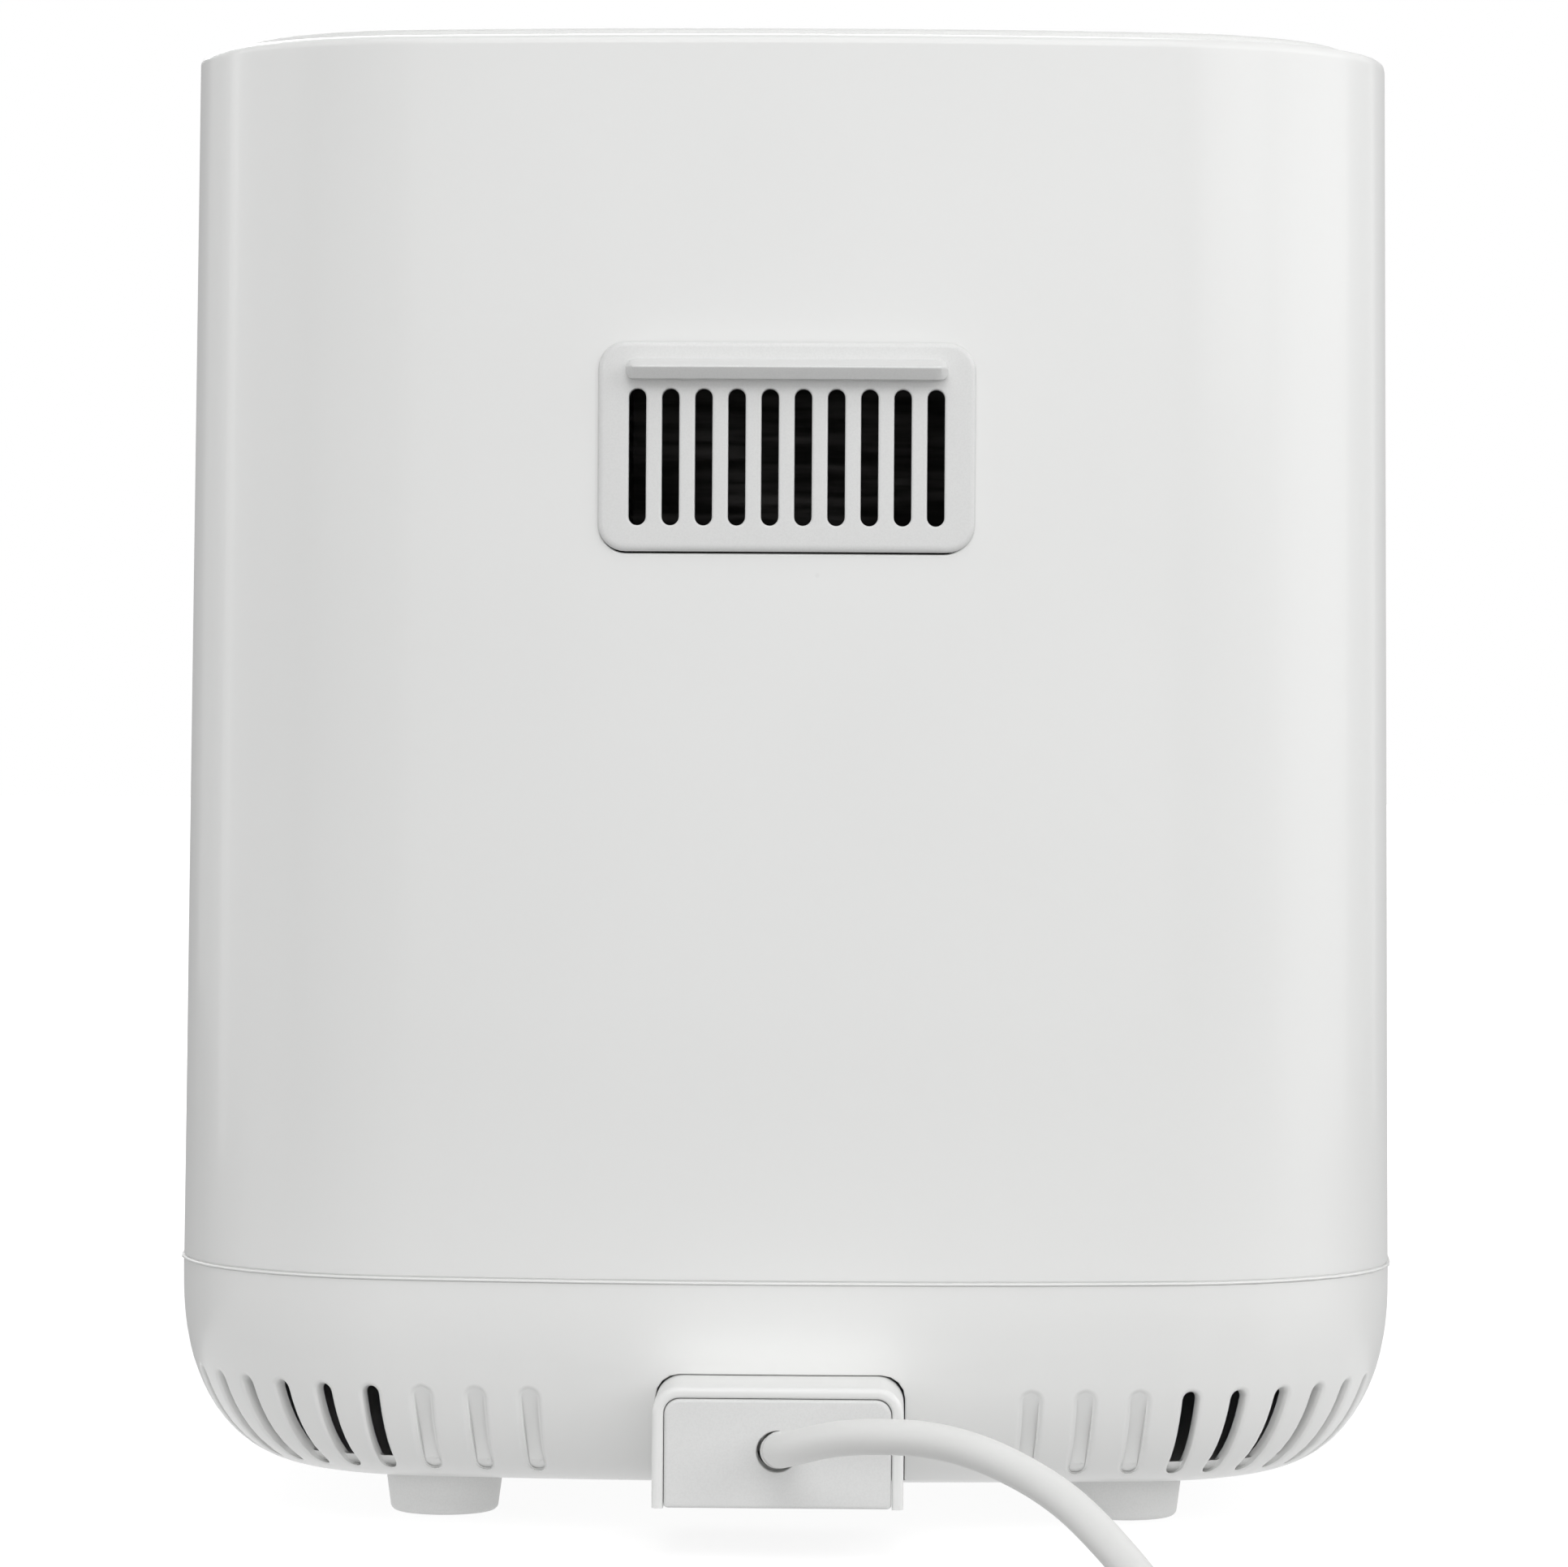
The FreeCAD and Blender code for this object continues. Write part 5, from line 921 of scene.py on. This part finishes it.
class FRYER_OT_base(bpy.types.Operator):
    """Base shell with its vents, and the feet"""

    bl_idname = "fryer.base"
    bl_label = "Base and feet"

    def execute(self, context):
        plan = Plan(context.scene.fryer_sizes)
        piece("base", self.shell(plan), "cabinet", "white_gloss", ["base_shell"], crease=42)
        piece("feet_turned", self.feet(), "cabinet", "white_foot", ["feet"])
        piece("feet_pads", self.pads(), "cabinet", "pad_rubber", ["foot_pads"])
        return {"FINISHED"}

    def shell(self, plan):
        """The wall with its vents and the cord block's arch, the edge above it up to the seam, the edge below
        it and the underside drawn to the middle. Heights stand at even turns of the edge's curve."""
        k = plan.k
        top = k.seam - k.base_rim
        rise = top - k.under
        first, pitch, blind, vents = 0.0528, 0.01145, 3, 12

        def turn(z):
            return math.acos(((top - z) / rise) ** (k.edge_full / 2))

        def heights(begin, end, steps):
            return top - rise * np.abs(np.cos(np.linspace(begin, end, steps))) ** (2 / k.edge_full)

        low, high = turn(0.0119), turn(0.040)
        z = heights(low, high, 11)
        begin, end = first - pitch / 2, first + (vents - 0.5) * pitch
        around = 4 * plan.quarter
        block = np.linspace(-begin, begin, 21)
        side = begin + pitch * (np.arange(4 * vents) / 4)
        front = np.linspace(end, around - end, 81)
        other = around - np.append(side, end)[:0:-1]
        arch = self.arch(plan, block, z)
        patches = []
        for i in range(vents):
            for sign in (1, -1):
                patches.append(self.vent(plan, sign * (first + i * pitch), pitch, z, i < blind))
        patches.append(sheet(plan.base(front, z[:, None], 0.0)))
        patches.append(sheet(plan.base(*np.moveaxis(arch, -1, 0))))
        loop = np.concatenate([block[:-1], side, front[:-1], other])
        upper = np.concatenate([heights(high, math.pi / 2, 6), [k.seam - 0.0001, k.seam, k.seam]])
        deep = np.concatenate([np.zeros(7), [0.0001, k.wall]])
        patches.append(sheet(plan.base(loop, upper[:, None], deep[:, None]), True))
        mouth = arch[:-1, -1, 0][::-1]
        lower = np.concatenate([mouth, side, front[:-1], other, around - mouth[::-1]])
        patches.append(sheet(plan.base(lower, heights(low, 0, 5)[:, None], 0.0)))
        under = drawn_in(plan.base(lower, k.under, 0.0), (0.0, k.mid_y, k.under), (1.0, 0.96, 0.7, 0.4, 0.0))
        patches.append(sheet(under, True))
        return patches

    def vent(self, plan, s0, pitch, z, blind):
        """One vent: its share of the wall, a rounded edge and a groove along the wall. A blind one has a
        small recess at its groove's lower end, and an open one goes through the wall above a sill."""
        wide, tall, low = 0.0041 if blind else 0.0036, 0.019, plan.k.under + 0.003
        bend = plan.bend(s0)

        def level(ring, deep, shrink=0.0):
            inset = plan.base_inset(ring[:, 1], shrink) + deep
            across = bend * np.arcsin(ring[:, 0] / (bend - inset))
            return raised(raised(np.column_stack([across, ring[:, 1]]), deep), shrink)

        def edge(grow, deep, shrink=0.0):
            ring = ring_even((0, low + tall / 2), (wide, tall), wide / 2, grow, 2, (0, 6))
            return level(ring, deep, shrink)

        rim = raised(raised(ring_rect(np.linspace(-pitch / 2, pitch / 2, 5), z), 0.0), 0.0)
        near = edge(0.0010, 0.0)
        rows = [rim + (near - rim) * t for t in (0.0, 0.6, 1.0)]
        rows += [edge(0.0006, 0.00007), edge(0.00025, 0.00025), edge(0.0, 0.0006)]
        if blind:
            floor, recess = 0.0007, 0.0003
            inner = ring_even((0, low + 0.0017), (0.0032, 0.0024), 0.0008, 0.0, 2, (0, 6))
            rows += [edge(-0.00015, 0.0, 0.0006), edge(-0.0004, 0.0, floor), level(inner, 0.0, floor)]
            rows += [level(inner, recess, floor), level(shut(inner), recess, floor)]
        else:
            sill, through = 0.0013, 0.0016
            size = (wide - 0.0004, tall - 0.0030)
            inner = ring_round((0, low + 0.0028 + size[1] / 2), size, (0.0005, 0.0015), 2, (0, 6))
            rows += [edge(-0.00005, 0.0, 0.0011), level(inner, 0.0, sill), level(inner, through, sill)]
        across, height, deep, shrink = np.moveaxis(np.array(rows), -1, 0)
        return sheet(plan.base(s0 + across, height, deep, shrink), True)

    def arch(self, plan, s, z):
        """The wall round the cord block: from the edge of its stretch in to the arch, and through the wall.
        Each point is how far along the outline it is, its height and its depth."""
        left_edge, right_edge = raised(z[:-1, None], s[0])[:, ::-1], raised(z[::-1, None], s[-1])[:, ::-1]
        rim = raised(np.concatenate([left_edge, raised(s[:-1, None], z[-1]), right_edge]), 0.0)

        def edge(grow, deep):
            half, top, r = 0.02598 + grow, 0.03612 + grow, 0.0049 + grow
            flat = np.linspace(r - half, 0, len(s) // 2 - 1)[1:, None]
            left = np.concatenate([half_arch(half, z[0], top, r, len(z) - 3, 4), raised(flat, top)])
            x, height = (np.concatenate([left, (left * (-1, 1))[-2::-1]]) - (0.0001, 0.0)).T
            along = plan.along(x, plan.base_inset(height, 0.0) + deep)
            return raised(np.column_stack([along, height]), deep)

        near = edge(0.0004, 0.0)
        rows = [rim + (near - rim) * t for t in (0.0, 0.4, 0.75, 1.0)]
        rows += [edge(0.0002, 0.00003), edge(0.00006, 0.00014), edge(0.0, 0.0004), edge(0.0, 0.003)]
        return np.array(rows)

    def feet(self):
        """Turned feet: a flared side, a rounded lower edge and a shallow recess for the pad."""
        side, recess = [(4.0, 10.6), (12.8, 10.5), (12.75, 10.0)], [(6.0, 0.6), (6.0, 2.1), (0, 2.1)]
        profile = np.concatenate([side, quarter_round(10.2, 2.1, 1.5, -1.5, 7), recess]) / 1000
        return [placed(lathe(profile, 56), p) for p in FEET]

    def pads(self):
        """Round pads with a softened edge."""
        profile = mm((5.85, 2.0), (5.85, 0.35), (5.7, 0.1), (5.4, 0.0), (0, 0.0))
        return [placed(lathe(profile, 40), p) for p in FEET]


# The outlet's middle.
OUTLET_X = -0.0003


class FRYER_OT_outlet(bpy.types.Operator):
    """Hot-air outlet"""

    bl_idname = "fryer.outlet"
    bl_label = "Hot-air outlet"

    def execute(self, context):
        plan = Plan(context.scene.fryer_sizes)
        piece("outlet", self.plate(plan) + self.ledge(plan), "cabinet", "white_satin", ["exhaust_grille"])
        return {"FINISHED"}

    def plate(self, plan):
        """A bowed plate with a rounded edge and a row of slots, each slot in its own share of the plate."""
        proud, pitch, count = -0.0012, 0.00689, 10
        mid, tall, wide, half = 0.2269, 0.0284, 0.0036, 0.0172
        z = np.linspace(mid - half, mid + half, 15)
        own = np.linspace(-pitch / 2, pitch / 2, 7)
        middles = (np.arange(count) - (count - 1) / 2) * pitch

        def patch(rows):
            return sheet(np.array([plan.rear(r[:, 0] + OUTLET_X, r[:, 1], proud + d) for r, d in rows]), True)

        def border(shrink):
            return ring_even((0, 0.2291), (0.0784, 0.0436), 0.0058, -shrink, 4, (52, 6))

        slot_edge = mm((0.5, 0.0), (0.2, 0.06), (0.05, 0.2), (0.0, 0.5), (0.0, 2.6))
        plate_edge = mm(
            (1.2, 0.0), (0.7, 0.1), (0.3, 0.3), (0.1, 0.6), (0.0, 0.9), (0.3, 1.0), (1.0, 1.0), (1.0, 2.0))
        patches = []
        for x in middles:
            rows = [(ring_rect(own + x, z), 0.0)]
            for grow, deep in slot_edge:
                rows.append((ring_even((x, mid), (wide, tall), wide / 2, grow, 3, (0, 8)), deep))
            patches.append(patch(rows))
        inner = ring_rect(np.append((middles[:, None] + own[:-1]).ravel(), count * pitch / 2), z)
        rows = [(inner, 0.0), (inner + (border(plate_edge[0, 0]) - inner) * 0.6, 0.0)]
        rows += [(border(shrink), deep) for shrink, deep in plate_edge]
        return patches + [patch(rows)]

    def ledge(self, plan):
        """The ledge over the slots: a wedge with a rounded nose, carried across and drawn in at both ends."""
        under, root, middle = 0.2429, -0.6, 0.0022
        t = np.linspace(-1, 1, 41)
        x = 0.0335 * np.sign(t) * (1 - (1 - np.abs(t)) ** 1.35)
        end = np.sqrt(np.clip(1 - np.clip((np.abs(x) - 0.0315) / 0.0020, 0, 1) ** 2, 0, 1))
        section = mm(
            (root, 0.0), (3.3, 0.0), (3.6, 0.15), (5.2, 2.15), (5.3, 2.45), (5.15, 2.75), (4.8, 2.95),
            (1.0, 4.0), (0.4, 4.25), (root, 4.9))
        out = section[:, :1] * np.where(section[:, :1] > 0, end, 1.0)
        up = under + middle + (section[:, 1:] - middle) * (0.35 + 0.65 * end)
        inset = plan.lean(under) - 0.0011
        _, y = plan.at(plan.along(x, inset), inset)
        return [sheet(np.stack(np.broadcast_arrays(x + OUTLET_X, y + out, up), -1))]


class FRYER_OT_cord_block(bpy.types.Operator):
    """Arch and plate where the cord leaves"""

    bl_idname = "fryer.cord_block"
    bl_label = "Cord block"

    def execute(self, context):
        piece("cord_arch", self.arch(), "cabinet", "white_gloss", ["cord_block_frame"])
        piece("cord_plate", self.plate(), "cabinet", "white_satin", ["cord_block_plate"])
        return {"FINISHED"}

    def arch(self):
        """A rounded wall section carried along an arch, and closed at both feet."""
        def path(inward):
            half, top = 25.8 - inward, 36.0 - inward
            left = np.concatenate([half_arch(half, 11.0, top, 5.6 - inward, 4, 10), [(-half / 3, top)]])
            return np.concatenate([left, (left * (-1, 1))[::-1]])

        section = [
            (0, 131.0), (0, 181.3), (0.1, 181.85), (0.35, 182.2), (0.75, 182.45), (1.2, 182.5), (1.75, 182.5),
            (2.1, 182.4), (2.32, 182.15), (2.4, 181.7), (2.4, 140.0)]
        rows = np.array([stood(path(inward), y) for inward, y in section]) / 1000
        return [sheet(rows)] + [sheet(np.stack([rows[:, i], shut(rows[:, i])])) for i in (0, -1)]

    def plate(self):
        """A plate inside the arch with a round hole, its edges softened."""
        back, face = 176.0, 182.45

        def edge(grow):
            return ring_round((0, 22.3), (46.62 + 2 * grow, 22.42 + 2 * grow), (0.9, 3.15), 3, (6, 6))

        def hole(grow):
            return ring_even((0.12, 22.78), (8.4, 8.4), 4.2, grow, 6, (0, 0))

        between = edge(-0.8) * 0.45 + hole(0.45) * 0.55
        rows = [
            (edge(0), back), (edge(0), 181.8), (edge(-0.12), 182.2), (edge(-0.4), 182.4), (edge(-0.8), face),
            (between, face), (hole(0.45), face), (hole(0.15), 182.36), (hole(0), 182.1), (hole(0), back),
            (edge(0), back)]
        return [sheet(np.array([stood(r, y) for r, y in rows]) / 1000, True)]


class FRYER_OT_drawer(bpy.types.Operator):
    """Drawer front, grip, pan and crisper plate"""

    bl_idname = "fryer.drawer"
    bl_label = "Drawer"

    def execute(self, context):
        plan = Plan(context.scene.fryer_sizes)
        piece("drawer_skin", self.skin(plan), "drawer", "white_gloss", ["drawer_front"])
        for node, half, key in (("handle_upper", 1, "white_gloss"), ("handle_lower", -1, "grey_satin")):
            piece(node + "_grip", self.grip(plan, half), "drawer", key, [node])
        piece("pan", self.pan(), "drawer", "coated_steel", ["frying_pan"])
        copies("drawer", {
            "drawer_backplate": "dark_plastic", "drawer_seal": "seal_rubber", "handle_bracket": "sheet_steel",
            "handle_screws": "sheet_steel"})
        copies("crisper", {"crisper_plate": "coated_steel", "crisper_feet": "seal_rubber"})
        return {"FINISHED"}

    def skin(self, plan):
        """A bowed panel with softened edges and a return to the rear, hollow behind."""
        thick, back = 0.003, -0.1095

        def ring(shrink, part=1.0):
            return ring_even((0, 0), (0.214, 0.118), 0.014, -shrink, 5, (28, 14)) * part + (0, 0.118)

        rows = [plan.front(*ring(0.0012, f).T, 0.0) for f in (0.0, 0.3, 0.6, 0.85, 1.0)]
        rows += [plan.front(*ring(g).T, d) for g, d in ((0.0007, 0.00008), (0.0003, 0.0003), (0.0, 0.0011))]
        rows += [stood(ring(shrink), back) for shrink in (0.0, thick)]
        rows += [plan.front(*ring(thick, f).T, thick) for f in (1.0, 0.6, 0.3, 0.0)]
        return [sheet(np.array(rows), True)]

    def grip(self, plan, half):
        """One half of the grip: rounded sections carried out from the drawer front, swelling and drawn in to
        a rounded end, and split along the middle."""
        k, m, face, reach, mid_z, gap = 6, (6, 4), -0.1275, 0.055, 0.124, 0.00012
        nose, rest = 0.86, 0.14
        t = np.append(np.linspace(0, nose, 15), nose + rest * np.sin(np.linspace(0, math.pi / 2, 9)[1:]))
        swell = 2.0 * np.sin(math.pi * np.clip(t, 0, 1)) ** 2
        cap = np.sqrt(np.clip(1 - np.clip((t - nose) / rest, 0, 1) ** 2, 0, 1)) * 0.35 + 0.65
        cap[-1] = 0.6
        n_w, n_h = 2 * k + m[0], 2 * k + m[1]
        right, left = n_w + n_h // 2, 2 * n_w + n_h + n_h // 2
        rows = []
        for out, e, s, c in zip(t, eased(t), swell, cap):
            w, h = (50 - 10 * e + s) * c, (36 - 10 * e + s) * c
            ring = ring_round((0, 0), (w, h), (min(11.0, 0.42 * h) * c,) * 2, k, m) / 1000
            part = ring[right:left + 1] if half > 0 else np.concatenate([ring[left:], ring[:right + 1]])
            row = stood(part, face - reach * out) + (0, 0, mid_z)
            if out == 0:
                row[:, 1] = plan.front(row[:, 0], row[:, 2], -0.0001)[:, 1]
            rows.append(row + (0, 0, half * gap))
        return [sheet(np.array([shut(rows[0])] + rows + [shut(rows[-1])]), True)]

    def pan(self):
        """A deep-drawn pan: rounded plan, rounded foot and a flat brim with a softened edge."""
        wide, deep, thick, foot, low, top, mid_y, waist = 189.0, 205.0, 1.5, 10.0, 67.0, 168.0, -7.0, 120.0

        def ring(grow, z, part=1.0, brim=0.0):
            flat = ring_even((0, 0), (wide, deep - brim), 28.0, grow, 6, (10, 10)) * part
            return raised(flat + (0, mid_y + brim / 2), z)

        def bend(r):
            return [ring(grow, z) for z, grow in quarter_round(low + foot, -foot, -r, r, 8)]

        brim = ((4.6, top - 1.5), (5.0, top - 1.1), (5.0, top - 0.4), (4.6, top), (0.3, top))
        rows = [ring(-foot, low, f) for f in (0.0, 0.4, 0.8)] + bend(foot)
        rows += [ring(0, waist), ring(0, top - 1.5)] + [ring(grow, z, brim=grow) for grow, z in brim]
        rows += [ring(-0.9, top - 0.2), ring(-thick, top - 0.9), ring(-thick, waist)]
        rows += bend(foot - thick)[::-1] + [ring(-foot, low + thick, f) for f in (0.8, 0.4, 0.0)]
        return [sheet(np.array(rows) / 1000, True)]


# How far the panel stands out of the housing, the dials' height, and each dial's x, turn and numbers.
PROUD = 0.0008
DIAL_Z = 0.245
DIALS = {
    "timer": (0.048, 300.0, ("0", "10", "20", "30", "40", "50", "60")),
    "thermostat": (-0.048, 270.0, ("80", "100", "120", "140", "160", "180", "200")),
}


class FRYER_OT_controls(bpy.types.Operator):
    """Control panel, knobs, lenses and dial marks"""

    bl_idname = "fryer.controls"
    bl_label = "Controls"

    def execute(self, context):
        plan = Plan(context.scene.fryer_sizes)
        merged_copy("control_fascia", "cabinet", "grey_satin")
        piece("lenses", self.lenses(plan), "cabinet", "clear_lens", ["indicator_lenses"])
        for name, (x, _, _) in DIALS.items():
            body = name + "_control"
            seat = (x, -0.1269, DIAL_Z)
            piece(name + "_grip", self.knob(seat), body, "white_gloss", [name + "_knob"])
            piece(name + "_band", self.band(seat), body, "bright_trim", [name + "_knob_ring"])
            piece(name + "_pointer", self.pointer(seat), body, "pointer")
            copies(body, {name + "_stem": "brass"})
        piece("dial_marks", self.marks(plan), "cabinet", "marks")
        for name, dial in DIALS.items():
            piece(name + "_numbers", self.numbers(plan, *dial), "cabinet", "marks")
        copies("cabinet", {"timer_unit": "dark_plastic", "thermostat_unit": "dark_plastic"})
        return {"FINISHED"}

    def lenses(self, plan):
        """Two domed lenses."""
        x, z, r, stem, dome = 0.007, 0.275, 2.2, 8.0, 0.9
        profile = np.concatenate([[(0, 0), (r, 0)], quarter_round(0, stem, r, dome, 7)]) / 1000
        y = plan.front(np.array([x]), np.array([z]), -PROUD)[0, 1] + stem / 1000 - PROUD
        return [placed(lathe(profile, 28), (side * x, y, z), (0, -1, 0)) for side in (-1, 1)]

    def facing(self, patch, seat):
        """A patch made about Z, turned so that Z points to the user and Y stays up."""
        points, quads = patch
        return np.stack([points[:, 0], -points[:, 2], points[:, 1]], 1) + np.asarray(seat), quads

    def knob(self, seat):
        """A skirted, waisted knob, and a finger bar with rounded edges across its face."""
        body = mm(
            (0, 0.3), (22.6, 0.3), (23.0, 0.7), (23.0, 5.0), (22.7, 5.7), (22.0, 6.0), (19.8, 6.0),
            (19.4, 9.0), (19.0, 11.0), (18.4, 11.8), (17.6, 12.0), (0, 12.0))
        section = ((0, 8.0), (0, 16.6), (0.3, 17.5), (0.9, 18.1), (1.6, 18.3), (4.4, 18.3))
        bar = [raised(ring_even((0, 0), (9.0, 35.6), 4.5, -g, 6, (0, 4)), z) for g, z in section]
        bar = sheet(np.array(bar + [shut(bar[-1])]) / 1000, True)
        return [self.facing(lathe(body, 72), seat), self.facing(bar, seat)]

    def band(self, seat):
        """The bright band on a knob's skirt."""
        profile = mm(
            (19.9, 6.05), (21.8, 6.05), (21.9, 6.3), (21.4, 7.0), (20.8, 7.2), (19.9, 7.2), (19.9, 6.05))
        return [self.facing(lathe(profile, 72), seat)]

    def pointer(self, seat):
        """A line along the finger bar, at its upper end."""
        section = ((0, 18.0), (0, 18.38), (0.15, 18.45), (0.68, 18.45))
        line = [raised(ring_even((0, 11.6), (1.5, 9.0), 0.7, -g, 3, (0, 2)), z) for g, z in section]
        return [self.facing(sheet(np.array(line) / 1000, True), seat)]

    def marks(self, plan):
        """Dial marks: short raised bars round each knob, longer at each number."""
        half, inner, short, long = 0.00035, 0.0285, 0.0303, 0.0318
        patches = []
        for x0, span, _ in DIALS.values():
            for i, turn in enumerate(np.linspace(0, math.radians(span), 25)):
                outer = long if i % 4 == 0 else short
                corners = np.array([(inner, -half), (inner, half), (outer, half), (outer, -half)])
                way = np.array([(math.sin(turn), math.cos(turn)), (math.cos(turn), -math.sin(turn))])
                x, z = (corners @ way + (x0, DIAL_Z)).T
                low, top = plan.front(x, z, 0.0002 - PROUD), plan.front(x, z, -0.00012 - PROUD)
                patches.append(sheet(np.array([low, top, shut(top)]), True))
        return patches

    def numbers(self, plan, x0, span, labels):
        """Plain dial numbers, laid on the bowed panel."""
        r, high, thick, lift = 0.0362, 0.0052, 0.0001, 0.00002
        patches = []
        for label, turn in zip(labels, np.radians(np.linspace(0.0, span, len(labels)))):
            words = bpy.data.curves.new("number", "FONT")
            words.body, words.size, words.extrude = label, high, thick
            words.align_x, words.align_y = "CENTER", "CENTER"
            words.resolution_u = 3
            holder = bpy.data.objects.new("number", words)
            shape = holder.to_mesh()
            points = np.empty(len(shape.vertices) * 3)
            shape.vertices.foreach_get("co", points)
            x, y, up = points.reshape(-1, 3).T
            shape.calc_loop_triangles()
            corners = np.empty(len(shape.loop_triangles) * 3, np.int32)
            shape.loop_triangles.foreach_get("vertices", corners)
            x, z = x0 + r * math.sin(turn) + x, DIAL_Z + r * math.cos(turn) + y
            laid = plan.front(x, z, -PROUD - (up + lift))
            patches.append((laid, corners.reshape(-1, 3)[:, [0, 1, 2, 2]]))
            holder.to_mesh_clear()
            bpy.data.objects.remove(holder)
            bpy.data.curves.remove(words)
        return patches


class FRYER_OT_inside(bpy.types.Operator):
    """Chamber, duct, heater, motor, fans and inner fittings"""

    bl_idname = "fryer.inside"
    bl_label = "Inside"

    def execute(self, context):
        copies("cabinet", {
            "inner_chamber": "alloy", "heat_reflector": "alloy", "runner_rails": "alloy",
            "front_bezel": "dark_plastic", "chamber_supports": "dark_plastic",
            "drawer_switch": "dark_plastic", "heating_element": "heater_steel",
            "heater_brackets": "sheet_steel", "motor_bridge": "sheet_steel", "motor_spacers": "sheet_steel",
            "motor_yoke": "sheet_steel", "housing_screws": "sheet_steel",
            "cord_clamp_screws": "sheet_steel", "motor_stator": "iron", "motor_coil": "copper",
            "motor_bearings": "brass", "inner_lead": "cord_sheath", "cord_clamp": "white_satin",
            "terminal_block": "white_satin"})
        # The exhaust duct takes the near-black metal finish.
        merged_copy("exhaust_duct", "cabinet", "dark_duct_metal")
        copies("fan_rotor", {
            "motor_shaft": "sheet_steel", "motor_rotor": "iron", "convection_fan": "alloy",
            "cooling_fan": "alloy", "fan_nut": "sheet_steel"})
        return {"FINISHED"}


class FRYER_PT_panel(bpy.types.Panel):
    """Buttons and settings of the fryer"""

    bl_idname = "FRYER_PT_panel"
    bl_label = "Hot-air fryer"
    bl_space_type = "VIEW_3D"
    bl_region_type = "UI"
    bl_category = "Fryer"

    def draw(self, context):
        for c in OPERATORS:
            self.layout.operator(c.bl_idname)
        for settings in (context.scene.fryer_sizes, context.scene.fryer_finish, context.scene.fryer_stage):
            box = self.layout.box()
            for label in settings.__annotations__:
                box.prop(settings, label)


OPERATORS = [
    FRYER_OT_stage, FRYER_OT_cord, FRYER_OT_housing, FRYER_OT_base, FRYER_OT_outlet, FRYER_OT_cord_block,
    FRYER_OT_drawer, FRYER_OT_controls, FRYER_OT_inside]
CLASSES = [FryerSizes, FryerFinish, FryerStage, *OPERATORS, FRYER_PT_panel]


def register():
    for c in CLASSES:
        bpy.utils.register_class(c)
    bpy.types.Scene.fryer_sizes = bpy.props.PointerProperty(type=FryerSizes)
    bpy.types.Scene.fryer_finish = bpy.props.PointerProperty(type=FryerFinish)
    bpy.types.Scene.fryer_stage = bpy.props.PointerProperty(type=FryerStage)


def unregister():
    del bpy.types.Scene.fryer_stage, bpy.types.Scene.fryer_finish, bpy.types.Scene.fryer_sizes
    for c in reversed(CLASSES):
        bpy.utils.unregister_class(c)


def main():
    register()
    FINISHES.update(all_materials())
    bpy.ops.fryer.stage()
    bpy.ops.fryer.cord()
    bpy.ops.fryer.housing()
    bpy.ops.fryer.base()
    bpy.ops.fryer.outlet()
    bpy.ops.fryer.cord_block()
    bpy.ops.fryer.drawer()
    bpy.ops.fryer.controls()
    bpy.ops.fryer.inside()


if __name__ == "__main__":
    main()
